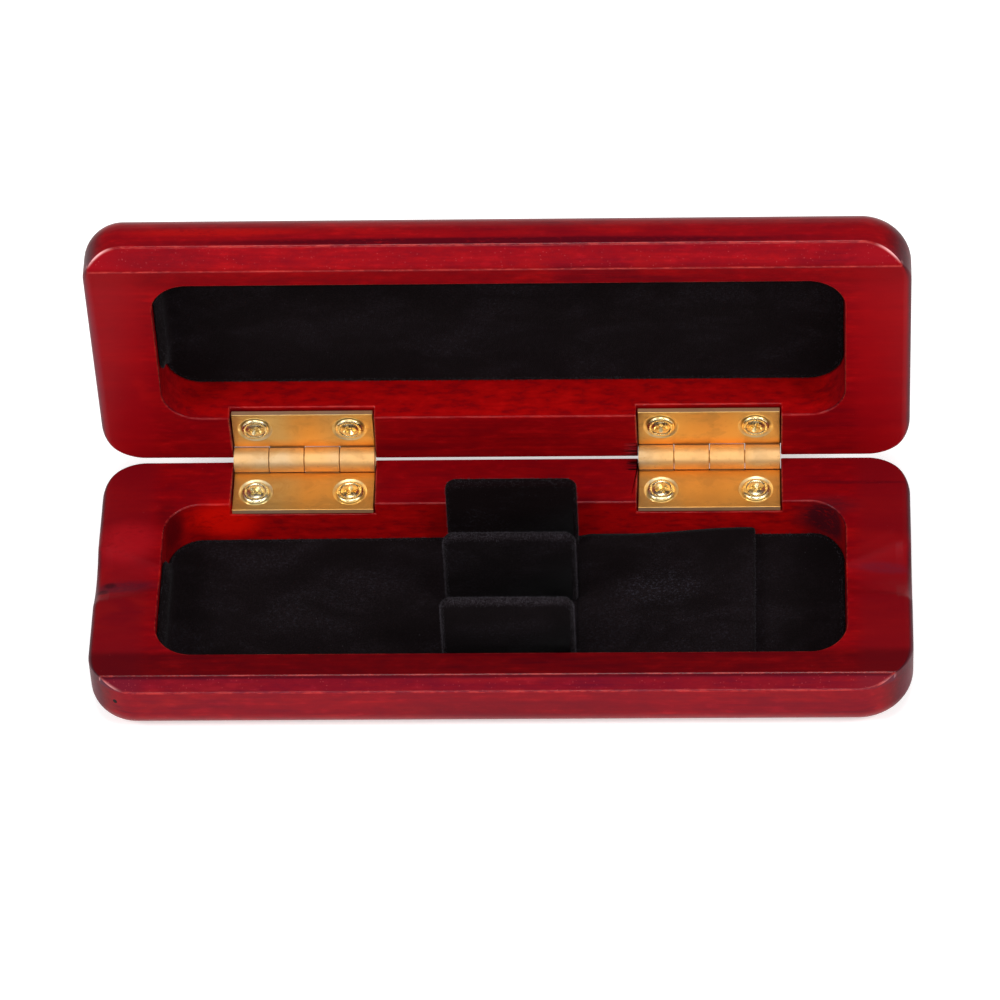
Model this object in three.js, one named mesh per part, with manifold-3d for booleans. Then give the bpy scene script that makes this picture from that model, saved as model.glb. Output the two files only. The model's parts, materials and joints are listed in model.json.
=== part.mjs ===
// Oboe reed case: a small wooden box of two equal halves, joined by two brass butt hinges and
// lined with velvet, with three upright velvet tabs that part the reeds and a low rest for the blades.
// Millimetres, +Z up. The length runs along X, the hinges are at the back (+Y) and the case opens
// at the front (-Y). The origin is the centre of the flat underside of the base.
//
// Both halves are modelled in one frame of their own: its origin is on the hinge axis, the half
// reaches from there to -Y, its rim lies just below the axis and its outer face is at the bottom.
// The base stands in that pose. The lid is turned end for end, then swung up about the axis.

import * as THREE from 'three';
import { mergeVertices } from 'three/addons/utils/BufferGeometryUtils.js';
import Module from 'manifold-3d';

const wasm = await Module();
wasm.setup();

// Wooden halves
const CASE_LENGTH = 106;
const CASE_DEPTH = 38.8;
const HALF_HEIGHT = 9;
const CORNER_RADIUS = 5.6;
const BASE_EDGE_RADIUS = 3.5;
const LID_EDGE_RADIUS = 4.9;
const END_EASE = 1.15;
const RIM_GAP = 0.2;
const HINGE_SETBACK = 0.25;
const LID_OPEN_ANGLE = THREE.MathUtils.degToRad(89);

// Pockets: the open depth is measured from the rim to the velvet
const POCKET_LENGTH = 89;
const POCKET_CORNER_RADIUS = 4.8;
const BASE_REAR_RIM = 7.6;
const BASE_POCKET_WIDTH = 25.7;
const BASE_OPEN_DEPTH = 6.6;
const LID_REAR_RIM = 7.8;
const LID_POCKET_WIDTH = 25.4;
const LID_OPEN_DEPTH = 6.25;

// Sloped front edges, which leave a groove for a fingernail when the case is shut
const BASE_SLOPE_WIDTH = 1.85;
const BASE_SLOPE_DROP = 1.4;
const LID_SLOPE_WIDTH = 2.85;
const LID_SLOPE_DROP = 1.8;

// Air scoops across the two end rims of the base, deepest at the outside
const SCOOP_RADIUS = 10.2;
const SCOOP_OUTER_DEPTH = 1.2;
const SCOOP_INNER_DEPTH = 0.3;

// Linings: velvet on a thin board, dropped into each pocket on a line of glue
const VELVET_THICKNESS = 0.5;
const BOARD_THICKNESS = 0.4;
const GLUE_LINE = 0.08;
const LINING_GAP = 0.12;

// Upright tabs: a stiff card in a folded velvet sleeve
const TAB_WIDTH = 17.1;
const TAB_CARD_THICKNESS = 0.74;
const SLEEVE_THICKNESS = 0.28;
const SLEEVE_GAP = 0.05;
const TAB_RISE = 5.35;
const TAB_CORNER_RADIUS = 1.5;
const TAB_OFFSET = 1.2;
const REAR_TAB_GAP = 0.6;
const MIDDLE_TAB_PITCH = 9.35;
const FRONT_TAB_PITCH = 11.1;
const SLOT_GAP = 0.1;

// Reed rest: a wedge under its own velvet, folded down at the free end
const REST_VELVET_THICKNESS = 0.4;
const REST_RISE = 1.1;
const REST_TAB_GAP = 0.5;
const REST_FLAT_LENGTH = 7;
const REST_END_DISTANCE = 11.8;
const WEDGE_END_LENGTH = 1.6;

// Butt hinges: each leaf is rolled round the pin into two of the four knuckles
const HINGE_LENGTH = 18.8;
const HINGE_DISTANCE = 26.65;
const LEAF_WIDTH = 8.05;
const LEAF_THICKNESS = 0.75;
const BARREL_RADIUS = 1.7;
const KNUCKLE_GAP = 0.15;
const NOTCH_GAP = 0.2;
const PIN_GAP = 0.1;
const PIN_CHAMFER = 0.2;
const SEAM_ANGLE = THREE.MathUtils.degToRad(207);
const KNUCKLE_COUNT = 4;
const MORTISE_SIDE_GAP = 0.22;
const MORTISE_FLOOR_GAP = 0.4;

// Wood screws with oval heads and cross recesses, in countersinks a little wider than the heads
const SCREW_END_DISTANCE = 3.2;
const SCREW_DISTANCE = 4.92;
const SCREW_HEAD_RADIUS = 1.85;
const SCREW_DOME = 0.42;
const COUNTERSINK_RADIUS = 2.3;
const COUNTERSINK_DEPTH = 0.68;
const SCREW_SHANK_RADIUS = 0.75;
const SCREW_LENGTH = 5.2;
const SCREW_POINT_LENGTH = 1.1;
const SCREW_GAP = 0.06;
const RECESS_LENGTH = 2.1;
const RECESS_WIDTH = 0.42;
const RECESS_DEPTH = 0.55;

// How far a cutting body runs past what it cuts, and how finely curves are stepped
const OVERRUN = 1;
const CORNER_STEPS = 8;
const EDGE_STEPS = 6;
const ROLL_STEPS = 18;
const ROUND_STEPS = 24;
const DOME_STEPS = 3;

// Places that follow from the sizes, in a half's own frame
const RIM_Z = -RIM_GAP / 2;
const OUTER_Z = RIM_Z - HALF_HEIGHT;
const BACK_Y = -HINGE_SETBACK;
const FRONT_Y = BACK_Y - CASE_DEPTH;
const LEAF_TOP_Z = LEAF_THICKNESS - BARREL_RADIUS;
const PLATE_END_Y = -Math.sqrt((BARREL_RADIUS + NOTCH_GAP) ** 2 - LEAF_TOP_Z ** 2);
const MORTISE_Z = -BARREL_RADIUS - MORTISE_FLOOR_GAP;
const TAB_THICKNESS = TAB_CARD_THICKNESS + 2 * (SLEEVE_GAP + SLEEVE_THICKNESS);

// Screw and countersink have parallel cones, so the head's edge sits a little under the leaf's top
const SCREW_SPACING = HINGE_LENGTH - 2 * SCREW_END_DISTANCE;
const SCREW_HOLE_RADIUS = SCREW_SHANK_RADIUS + SCREW_GAP;
const CONE_SLOPE = COUNTERSINK_DEPTH / (COUNTERSINK_RADIUS - SCREW_HOLE_RADIUS);
const SCREW_SEAT = CONE_SLOPE * (COUNTERSINK_RADIUS - SCREW_HEAD_RADIUS) - SCREW_GAP;

const stainedWood = new THREE.MeshStandardMaterial({ color: 0x86101a, roughness: 0.35, metalness: 0 });
const velvet = new THREE.MeshStandardMaterial({ color: 0x0d0c0e, roughness: 1, metalness: 0 });
const board = new THREE.MeshStandardMaterial({ color: 0x55504a, roughness: 0.95, metalness: 0 });
const brass = new THREE.MeshStandardMaterial({ color: 0xd08a3a, roughness: 0.35, metalness: 1 });
const brightBrass = new THREE.MeshStandardMaterial({ color: 0xe6b05c, roughness: 0.2, metalness: 1 });

// Turns a closed three.js geometry into a solid that can be joined and cut.
function solid(geometry) {
  const bare = geometry.clone();
  bare.deleteAttribute('normal');
  bare.deleteAttribute('uv');
  const merged = mergeVertices(bare);
  return new wasm.Manifold(new wasm.Mesh({
    numProp: 3,
    vertProperties: new Float32Array(merged.attributes.position.array),
    triVerts: new Uint32Array(merged.index.array),
  }));
}

function toGeometry(body) {
  const { vertProperties, triVerts } = body.getMesh();
  const geometry = new THREE.BufferGeometry();
  geometry.setAttribute('position', new THREE.BufferAttribute(vertProperties, 3));
  geometry.setIndex(new THREE.BufferAttribute(triVerts, 1));
  geometry.computeVertexNormals();
  return geometry;
}

function piece(name, body, material) {
  const mesh = new THREE.Mesh(toGeometry(body), material);
  mesh.name = name;
  return mesh;
}

// A rectangle about (x, y) with rounded corners.
function roundedRectangle(length, width, radius, x = 0, y = 0) {
  const right = x + length / 2 - radius;
  const left = x - length / 2 + radius;
  const back = y + width / 2 - radius;
  const front = y - width / 2 + radius;
  const outline = new THREE.Shape();
  outline.absarc(right, back, radius, 0, Math.PI / 2);
  outline.absarc(left, back, radius, Math.PI / 2, Math.PI);
  outline.absarc(left, front, radius, Math.PI, 1.5 * Math.PI);
  outline.absarc(right, front, radius, 1.5 * Math.PI, 2 * Math.PI);
  outline.closePath();
  return outline;
}

function rectangle(length, width, x, y) {
  const path = new THREE.Path();
  path.moveTo(x - length / 2, y - width / 2);
  path.lineTo(x + length / 2, y - width / 2);
  path.lineTo(x + length / 2, y + width / 2);
  path.lineTo(x - length / 2, y + width / 2);
  path.closePath();
  return path;
}

// A plan outline raised from one height to another.
function upright(outline, lowZ, highZ) {
  const geometry = new THREE.ExtrudeGeometry(outline, {
    depth: highZ - lowZ, bevelEnabled: false, curveSegments: CORNER_STEPS,
  });
  return geometry.translate(0, 0, lowZ);
}

// A cross-section drawn in (y, z) and carried along X.
function alongX(section, startX, endX, steps = CORNER_STEPS) {
  const geometry = new THREE.ExtrudeGeometry(section, {
    depth: endX - startX, bevelEnabled: false, curveSegments: steps,
  });
  const turn = new THREE.Matrix4().makeBasis(
    new THREE.Vector3(0, 1, 0), new THREE.Vector3(0, 0, 1), new THREE.Vector3(1, 0, 0));
  return geometry.applyMatrix4(turn).translate(startX, 0, 0);
}

// A front view drawn in (x, z) and carried along Y, from the back towards the front.
function alongY(view, backY, frontY) {
  const geometry = new THREE.ExtrudeGeometry(view, {
    depth: backY - frontY, bevelEnabled: false, curveSegments: CORNER_STEPS,
  });
  return geometry.rotateX(Math.PI / 2).translate(0, backY, 0);
}

function box(lowX, highX, lowY, highY, lowZ, highZ) {
  const geometry = new THREE.BoxGeometry(highX - lowX, highY - lowY, highZ - lowZ);
  return geometry.translate((lowX + highX) / 2, (lowY + highY) / 2, (lowZ + highZ) / 2);
}

// Wooden half: a slab with rounded upright corners and a rounded outer edge, then its cuts.
function shellBlank(edgeRadius) {
  const plan = roundedRectangle(CASE_LENGTH - 2 * edgeRadius, CASE_DEPTH - 2 * edgeRadius,
    CORNER_RADIUS - edgeRadius, 0, (BACK_Y + FRONT_Y) / 2);
  const slab = new THREE.ExtrudeGeometry(plan, {
    depth: HALF_HEIGHT, bevelThickness: edgeRadius, bevelSize: edgeRadius,
    bevelSegments: EDGE_STEPS, curveSegments: CORNER_STEPS,
  });
  slab.translate(0, 0, OUTER_Z + edgeRadius);
  const aboveRim = box(-CASE_LENGTH, CASE_LENGTH, -2 * CASE_DEPTH, CASE_DEPTH,
    RIM_Z, RIM_Z + HALF_HEIGHT + edgeRadius);
  return solid(slab).subtract(solid(aboveRim));
}

// What the rounding over of one end of the rim takes away, carried straight across the half.
function endEase(side) {
  const end = side * CASE_LENGTH / 2;
  const past = end + side * OVERRUN;
  const middle = end - side * END_EASE;
  const view = new THREE.Shape();
  view.moveTo(past, RIM_Z - END_EASE);
  view.lineTo(end, RIM_Z - END_EASE);
  view.absarc(middle, RIM_Z - END_EASE, END_EASE, side > 0 ? 0 : Math.PI, Math.PI / 2, side < 0);
  view.lineTo(middle, RIM_Z + OVERRUN);
  view.lineTo(past, RIM_Z + OVERRUN);
  view.closePath();
  return solid(alongY(view, BACK_Y + OVERRUN, FRONT_Y - OVERRUN));
}

function frontSlope(width, drop) {
  const past = OVERRUN / width;
  const section = new THREE.Shape();
  section.moveTo(FRONT_Y + width, RIM_Z);
  section.lineTo(FRONT_Y - past * width, RIM_Z - drop - past * drop);
  section.lineTo(FRONT_Y - past * width, RIM_Z + OVERRUN);
  section.lineTo(FRONT_Y + width, RIM_Z + OVERRUN);
  section.closePath();
  return solid(alongX(section, -CASE_LENGTH, CASE_LENGTH));
}

function hingeMortise(x) {
  const halfLength = HINGE_LENGTH / 2 + MORTISE_SIDE_GAP;
  return solid(box(x - halfLength, x + halfLength, BACK_Y - CASE_DEPTH / 2, BACK_Y + OVERRUN,
    MORTISE_Z, RIM_Z + OVERRUN));
}

function pilotHole(x) {
  const depth = SCREW_SEAT + SCREW_LENGTH + SCREW_GAP;
  const geometry = new THREE.CylinderGeometry(SCREW_HOLE_RADIUS, SCREW_HOLE_RADIUS, depth, ROUND_STEPS);
  geometry.rotateX(Math.PI / 2).translate(x, -SCREW_DISTANCE, LEAF_TOP_Z - depth / 2);
  return solid(geometry);
}

function screwPlaces() {
  return [-HINGE_DISTANCE, HINGE_DISTANCE].flatMap(
    (x) => [x - SCREW_SPACING / 2, x + SCREW_SPACING / 2]);
}

function pocketFloorZ(half) {
  return RIM_Z - half.openDepth - VELVET_THICKNESS - BOARD_THICKNESS - 2 * GLUE_LINE;
}

function pocketBackY(half) {
  return BACK_Y - half.rearRim;
}

function pocketMiddleY(half) {
  return pocketBackY(half) - half.pocketWidth / 2;
}

function pocketOutline(half, gap) {
  return roundedRectangle(POCKET_LENGTH - 2 * gap, half.pocketWidth - 2 * gap,
    POCKET_CORNER_RADIUS - gap, 0, pocketMiddleY(half));
}

// Each scoop is a shallow round trough across an end rim, tipped so that it runs out inwards.
function airScoop(side) {
  const endRim = (CASE_LENGTH - POCKET_LENGTH) / 2;
  const slope = Math.atan2(SCOOP_OUTER_DEPTH - SCOOP_INNER_DEPTH, endRim);
  const length = 3 * endRim;
  const middleDepth = (SCOOP_OUTER_DEPTH + SCOOP_INNER_DEPTH) / 2;
  const trough = new THREE.CylinderGeometry(SCOOP_RADIUS, SCOOP_RADIUS, length, 3 * ROUND_STEPS);
  trough.rotateZ(Math.PI / 2 + side * -slope);
  trough.translate(side * (POCKET_LENGTH / 2 + endRim / 2), BACK_Y - CASE_DEPTH / 2,
    RIM_Z + SCOOP_RADIUS / Math.cos(slope) - middleDepth);
  return solid(trough);
}

function shell(half) {
  let body = shellBlank(half.edgeRadius);
  const pocket = upright(pocketOutline(half, 0), pocketFloorZ(half), RIM_Z + OVERRUN);
  body = body.subtract(solid(pocket));
  body = body.subtract(endEase(-1)).subtract(endEase(1));
  body = body.subtract(frontSlope(half.slopeWidth, half.slopeDrop));
  for (const x of [-HINGE_DISTANCE, HINGE_DISTANCE]) {
    // a mortise ends at the pocket, so only the rear rim is notched
    const reach = solid(box(-CASE_LENGTH, CASE_LENGTH, pocketMiddleY(half), BACK_Y + OVERRUN,
      MORTISE_Z, RIM_Z + OVERRUN));
    body = body.subtract(hingeMortise(x).intersect(reach));
  }
  for (const x of screwPlaces()) {
    body = body.subtract(pilotHole(x));
  }
  return body;
}

// Linings: the board and the velvet share one outline; the base's have slots for the tabs.
function lining(half, bottomZ, topZ, slots) {
  const outline = pocketOutline(half, LINING_GAP);
  outline.holes.push(...slots);
  return solid(upright(outline, bottomZ, topZ));
}

function tabBackPlaces(half) {
  const rear = pocketBackY(half) - REAR_TAB_GAP;
  const middle = rear - MIDDLE_TAB_PITCH;
  return { rear, middle, front: middle - FRONT_TAB_PITCH };
}

function tabSlots(half) {
  const sleeve = SLEEVE_GAP + SLEEVE_THICKNESS;
  return Object.values(tabBackPlaces(half)).map((backY) => rectangle(
    TAB_WIDTH - 2 * sleeve + 2 * SLOT_GAP, TAB_CARD_THICKNESS + 2 * SLOT_GAP,
    TAB_OFFSET, backY - TAB_THICKNESS / 2));
}

// An upright tab seen from the front, set in from the finished tab by a margin all round.
function tabView(margin, bottomZ) {
  const halfWidth = TAB_WIDTH / 2 - margin;
  const topZ = RIM_Z + TAB_RISE - margin;
  const radius = TAB_CORNER_RADIUS - margin;
  const view = new THREE.Shape();
  view.moveTo(TAB_OFFSET - halfWidth, bottomZ);
  view.lineTo(TAB_OFFSET + halfWidth, bottomZ);
  view.absarc(TAB_OFFSET + halfWidth - radius, topZ - radius, radius, 0, Math.PI / 2);
  view.absarc(TAB_OFFSET - halfWidth + radius, topZ - radius, radius, Math.PI / 2, Math.PI);
  view.closePath();
  return view;
}

function tabCard(half, backY) {
  const margin = SLEEVE_GAP + SLEEVE_THICKNESS;
  const view = tabView(margin, pocketFloorZ(half) + GLUE_LINE);
  return solid(alongY(view, backY - margin, backY - margin - TAB_CARD_THICKNESS));
}

function tabSleeve(half, backY) {
  const bottomZ = RIM_Z - half.openDepth + GLUE_LINE;
  const outside = alongY(tabView(0, bottomZ), backY, backY - TAB_THICKNESS);
  const inside = alongY(tabView(SLEEVE_THICKNESS, bottomZ - OVERRUN),
    backY - SLEEVE_THICKNESS, backY - TAB_THICKNESS + SLEEVE_THICKNESS);
  return solid(outside).subtract(solid(inside));
}

// Reed rest: places along X of its start, the foot of its slope and its free end.
const REST_START_X = TAB_OFFSET + TAB_WIDTH / 2 + REST_TAB_GAP;
const REST_FOOT_X = REST_START_X + REST_FLAT_LENGTH;
const REST_END_X = POCKET_LENGTH / 2 - REST_END_DISTANCE;

// The sloping top of the rest: level, then an easy rise, then level to the end.
function restTop(view, height, endX) {
  const topX = endX - WEDGE_END_LENGTH;
  const middleX = (REST_FOOT_X + topX) / 2;
  view.lineTo(topX, height + REST_RISE);
  view.bezierCurveTo(middleX, height + REST_RISE, middleX, height, REST_FOOT_X, height);
}

function restWedge(half) {
  const floorZ = RIM_Z - half.openDepth + GLUE_LINE;
  const endX = REST_END_X - REST_VELVET_THICKNESS - GLUE_LINE;
  const view = new THREE.Shape();
  view.moveTo(REST_FOOT_X, floorZ);
  view.lineTo(endX, floorZ);
  view.lineTo(endX, floorZ + REST_RISE);
  restTop(view, floorZ, endX);
  view.closePath();
  return solid(alongY(view, pocketBackY(half) - LINING_GAP,
    pocketBackY(half) - half.pocketWidth + LINING_GAP));
}

function restVelvet(half) {
  const floorZ = RIM_Z - half.openDepth + GLUE_LINE;
  const underZ = floorZ + GLUE_LINE;
  const innerX = REST_END_X - REST_VELVET_THICKNESS;
  const view = new THREE.Shape();
  view.moveTo(REST_START_X, underZ);
  view.lineTo(REST_FOOT_X, underZ);
  const topX = REST_END_X - REST_VELVET_THICKNESS - GLUE_LINE - WEDGE_END_LENGTH;
  const middleX = (REST_FOOT_X + topX) / 2;
  view.bezierCurveTo(middleX, underZ, middleX, underZ + REST_RISE, topX, underZ + REST_RISE);
  view.lineTo(innerX, underZ + REST_RISE);
  view.lineTo(innerX, floorZ);
  view.lineTo(REST_END_X, floorZ);
  view.lineTo(REST_END_X, underZ + REST_RISE + REST_VELVET_THICKNESS);
  restTop(view, underZ + REST_VELVET_THICKNESS, REST_END_X - REST_VELVET_THICKNESS - GLUE_LINE);
  view.lineTo(REST_START_X, underZ + REST_VELVET_THICKNESS);
  view.closePath();
  return solid(alongY(view, pocketBackY(half) - LINING_GAP,
    pocketBackY(half) - half.pocketWidth + LINING_GAP));
}

// A knuckle is rolled from the leaf itself: the sheet runs in under the pin, goes round behind
// and over it, and stops just above the leaf at an open seam.
function knuckleSection() {
  const bore = BARREL_RADIUS - LEAF_THICKNESS;
  const root = PLATE_END_Y - LEAF_THICKNESS;
  const section = new THREE.Shape();
  section.moveTo(root, -BARREL_RADIUS);
  section.lineTo(0, -BARREL_RADIUS);
  section.absarc(0, 0, BARREL_RADIUS, -Math.PI / 2, SEAM_ANGLE, false);
  section.lineTo(bore * Math.cos(SEAM_ANGLE), bore * Math.sin(SEAM_ANGLE));
  section.absarc(0, 0, bore, SEAM_ANGLE, -Math.PI / 2, true);
  section.lineTo(root, -bore);
  section.closePath();
  return section;
}

// A hole about its own axis, with the leaf's top face at height zero.
function countersink(x) {
  const profile = [
    new THREE.Vector2(0, -LEAF_THICKNESS - OVERRUN),
    new THREE.Vector2(SCREW_HOLE_RADIUS, -LEAF_THICKNESS - OVERRUN),
    new THREE.Vector2(SCREW_HOLE_RADIUS, -COUNTERSINK_DEPTH),
    new THREE.Vector2(COUNTERSINK_RADIUS, 0),
    new THREE.Vector2(COUNTERSINK_RADIUS, OVERRUN),
    new THREE.Vector2(0, OVERRUN),
  ];
  const geometry = new THREE.LatheGeometry(profile, ROUND_STEPS);
  return solid(geometry.rotateX(Math.PI / 2).translate(x, -SCREW_DISTANCE, LEAF_TOP_Z));
}

// Leaf: a plate with a notch opposite each knuckle of the other leaf, and its own rolled knuckles.
function hingeLeaf(x) {
  const startX = x - HINGE_LENGTH / 2;
  const pitch = HINGE_LENGTH / KNUCKLE_COUNT;
  let body = solid(box(startX, startX + HINGE_LENGTH, -LEAF_WIDTH, PLATE_END_Y,
    -BARREL_RADIUS, LEAF_TOP_Z));
  for (let index = 0; index < KNUCKLE_COUNT; index += 2) {
    const left = startX + index * pitch + (index === 0 ? 0 : KNUCKLE_GAP / 2);
    const right = startX + (index + 1) * pitch - KNUCKLE_GAP / 2;
    body = body.add(solid(alongX(knuckleSection(), left, right, ROLL_STEPS)));
  }
  for (const screwX of [x - SCREW_SPACING / 2, x + SCREW_SPACING / 2]) {
    body = body.subtract(countersink(screwX));
  }
  return body;
}

function hingePin(x) {
  const radius = BARREL_RADIUS - LEAF_THICKNESS - PIN_GAP;
  const profile = [
    new THREE.Vector2(0, -HINGE_LENGTH / 2),
    new THREE.Vector2(radius - PIN_CHAMFER, -HINGE_LENGTH / 2),
    new THREE.Vector2(radius, -HINGE_LENGTH / 2 + PIN_CHAMFER),
    new THREE.Vector2(radius, HINGE_LENGTH / 2 - PIN_CHAMFER),
    new THREE.Vector2(radius - PIN_CHAMFER, HINGE_LENGTH / 2),
    new THREE.Vector2(0, HINGE_LENGTH / 2),
  ];
  const geometry = new THREE.LatheGeometry(profile, ROUND_STEPS);
  return solid(geometry.rotateZ(Math.PI / 2).translate(x, 0, 0));
}

// A screw about its own axis, with the edge of its head at height zero.
function screw(x) {
  const coneHeight = CONE_SLOPE * (SCREW_HEAD_RADIUS - SCREW_SHANK_RADIUS);
  const profile = [
    new THREE.Vector2(0, -SCREW_LENGTH),
    new THREE.Vector2(SCREW_SHANK_RADIUS, -SCREW_LENGTH + SCREW_POINT_LENGTH),
    new THREE.Vector2(SCREW_SHANK_RADIUS, -coneHeight),
    new THREE.Vector2(SCREW_HEAD_RADIUS, 0),
  ];
  for (let step = 1; step < DOME_STEPS; step += 1) {
    const angle = (step / DOME_STEPS) * (Math.PI / 2);
    profile.push(new THREE.Vector2(SCREW_HEAD_RADIUS * Math.cos(angle), SCREW_DOME * Math.sin(angle)));
  }
  profile.push(new THREE.Vector2(0, SCREW_DOME));
  let body = solid(new THREE.LatheGeometry(profile, ROUND_STEPS).rotateX(Math.PI / 2));
  const reach = RECESS_LENGTH / 2;
  const side = RECESS_WIDTH / 2;
  const floorZ = SCREW_DOME - RECESS_DEPTH;
  body = body.subtract(solid(box(-reach, reach, -side, side, floorZ, SCREW_DOME + OVERRUN)));
  body = body.subtract(solid(box(-side, side, -reach, reach, floorZ, SCREW_DOME + OVERRUN)));
  return body.translate([x, -SCREW_DISTANCE, LEAF_TOP_Z - SCREW_SEAT]);
}

// One half's fastened hinge parts. The lid is turned end for end, so its left is the other side.
function hingeParts(halfName, turned) {
  const parts = [];
  for (const [place, x] of [['left', -HINGE_DISTANCE], ['right', HINGE_DISTANCE]]) {
    const ownX = turned ? -x : x;
    parts.push(piece(`hinge_${place}_${halfName}_leaf`, hingeLeaf(ownX), brass));
    for (const [end, shift] of [['left', -SCREW_SPACING / 2], ['right', SCREW_SPACING / 2]]) {
      const ownShift = turned ? -shift : shift;
      parts.push(piece(`hinge_${place}_${halfName}_screw_${end}`, screw(ownX + ownShift), brightBrass));
    }
  }
  return parts;
}

function liningParts(halfName, half, slots) {
  const boardZ = pocketFloorZ(half) + GLUE_LINE;
  const velvetZ = boardZ + BOARD_THICKNESS + GLUE_LINE;
  return [
    piece(`${halfName}_lining_board`, lining(half, boardZ, boardZ + BOARD_THICKNESS, slots), board),
    piece(`${halfName}_lining_velvet`, lining(half, velvetZ, velvetZ + VELVET_THICKNESS, slots), velvet),
  ];
}

const base = {
  edgeRadius: BASE_EDGE_RADIUS,
  rearRim: BASE_REAR_RIM,
  pocketWidth: BASE_POCKET_WIDTH,
  openDepth: BASE_OPEN_DEPTH,
  slopeWidth: BASE_SLOPE_WIDTH,
  slopeDrop: BASE_SLOPE_DROP,
};

const lid = {
  edgeRadius: LID_EDGE_RADIUS,
  rearRim: LID_REAR_RIM,
  pocketWidth: LID_POCKET_WIDTH,
  openDepth: LID_OPEN_DEPTH,
  slopeWidth: LID_SLOPE_WIDTH,
  slopeDrop: LID_SLOPE_DROP,
};

const baseGroup = new THREE.Group();
baseGroup.add(piece('base_shell', shell(base).subtract(airScoop(-1)).subtract(airScoop(1)), stainedWood));
baseGroup.add(...liningParts('base', base, tabSlots(base)));
for (const [place, backY] of Object.entries(tabBackPlaces(base))) {
  baseGroup.add(piece(`tab_${place}_card`, tabCard(base, backY), board));
  baseGroup.add(piece(`tab_${place}_velvet`, tabSleeve(base, backY), velvet));
}
baseGroup.add(piece('reed_rest_wedge', restWedge(base), board));
baseGroup.add(piece('reed_rest_velvet', restVelvet(base), velvet));
baseGroup.add(...hingeParts('base', false));
baseGroup.add(piece('hinge_left_pin', hingePin(-HINGE_DISTANCE), brass));
baseGroup.add(piece('hinge_right_pin', hingePin(HINGE_DISTANCE), brass));

const lidGroup = new THREE.Group();
lidGroup.add(piece('lid_shell', shell(lid), stainedWood));
lidGroup.add(...liningParts('lid', lid, []));
lidGroup.add(...hingeParts('lid', true));
lidGroup.rotation.set(Math.PI - LID_OPEN_ANGLE, 0, Math.PI);

const group = new THREE.Group();
group.add(baseGroup, lidGroup);
group.position.set(0, CASE_DEPTH / 2 + HINGE_SETBACK, -OUTER_Z);

export default group;
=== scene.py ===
# %% [markdown]
# An oboe reed case, dressed
#
# The case is two hollowed slabs of red-stained hardwood that meet rim to rim. Two small brass butt
# hinges join them at the back. Both pockets are lined with black velvet. Three upright velvet tabs
# keep the reeds apart, and a low velvet rest lies under their blades.
#
# The frame holds every piece at its real size. This lesson gives each visible piece its fine
# surface and its finish: softened edges, rolled brass, pile and lacquer.

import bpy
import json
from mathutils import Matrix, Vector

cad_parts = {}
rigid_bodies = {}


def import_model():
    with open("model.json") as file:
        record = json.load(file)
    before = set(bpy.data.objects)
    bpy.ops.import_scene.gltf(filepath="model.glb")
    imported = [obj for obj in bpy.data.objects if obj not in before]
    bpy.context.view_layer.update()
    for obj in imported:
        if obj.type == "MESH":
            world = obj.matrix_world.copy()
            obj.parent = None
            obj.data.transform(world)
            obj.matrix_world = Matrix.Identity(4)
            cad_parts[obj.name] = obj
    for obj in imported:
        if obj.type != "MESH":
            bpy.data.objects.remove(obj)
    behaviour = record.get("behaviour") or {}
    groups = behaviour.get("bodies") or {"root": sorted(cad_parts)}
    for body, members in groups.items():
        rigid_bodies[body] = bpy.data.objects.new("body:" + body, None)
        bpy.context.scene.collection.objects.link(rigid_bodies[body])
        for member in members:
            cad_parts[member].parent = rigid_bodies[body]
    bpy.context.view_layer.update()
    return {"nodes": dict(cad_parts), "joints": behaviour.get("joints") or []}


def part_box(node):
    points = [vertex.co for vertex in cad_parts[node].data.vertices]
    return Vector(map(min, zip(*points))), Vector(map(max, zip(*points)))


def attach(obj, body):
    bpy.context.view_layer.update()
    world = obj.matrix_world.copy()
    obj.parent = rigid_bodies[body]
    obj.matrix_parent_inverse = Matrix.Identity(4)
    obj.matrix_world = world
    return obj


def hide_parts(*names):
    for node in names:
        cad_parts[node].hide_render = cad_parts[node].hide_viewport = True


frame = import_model()

import json
import math

import bmesh
import bpy
import numpy as np
from mathutils import Matrix, Vector

print("nodes in the frame:", len(frame["nodes"]))

# %% [markdown]
# Where things are
#
# Blender works in metres here, but a reed case is easier to think about in millimetres. Each half
# is therefore shaped in a frame of its own, in millimetres: the origin is on the hinge axis, the
# half reaches from there towards -Y, its rim lies just under the axis and its outer face is lowest.
# The base stands in that pose already. The lid is the same kind of half turned end for end and
# then swung up. Two small functions bring finished points into the shared frame.

# %% The hinge and the two placings
MM = 0.001
HINGE = frame["joints"][0]
HINGE_AXIS = np.array(HINGE["pos_m"])
LID_OPENING = math.radians(-HINGE["range_deg"][0])


def base_place(points):
    """Half frame in mm to the row frame in metres: scaled, then shifted by the hinge axis."""
    return points * MM + HINGE_AXIS


def lid_place(points):
    """x and y change sign, then (y, z) turns about the axis by 180 degrees less the opening."""
    x, y, z = (points * (-1, -1, 1)).T
    swing = math.pi - LID_OPENING
    turned = np.stack([x, y * math.cos(swing) - z * math.sin(swing),
                       y * math.sin(swing) + z * math.cos(swing)], axis=1)
    return turned * MM + HINGE_AXIS


def size_of(node):
    """Length, depth and height of a CAD node, in millimetres."""
    low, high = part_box(node)
    return np.array(high - low) / MM


CASE_LENGTH, CASE_DEPTH, HALF_HEIGHT = size_of("base_shell")
print("one half, mm:", np.round([CASE_LENGTH, CASE_DEPTH, HALF_HEIGHT], 2))

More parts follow.
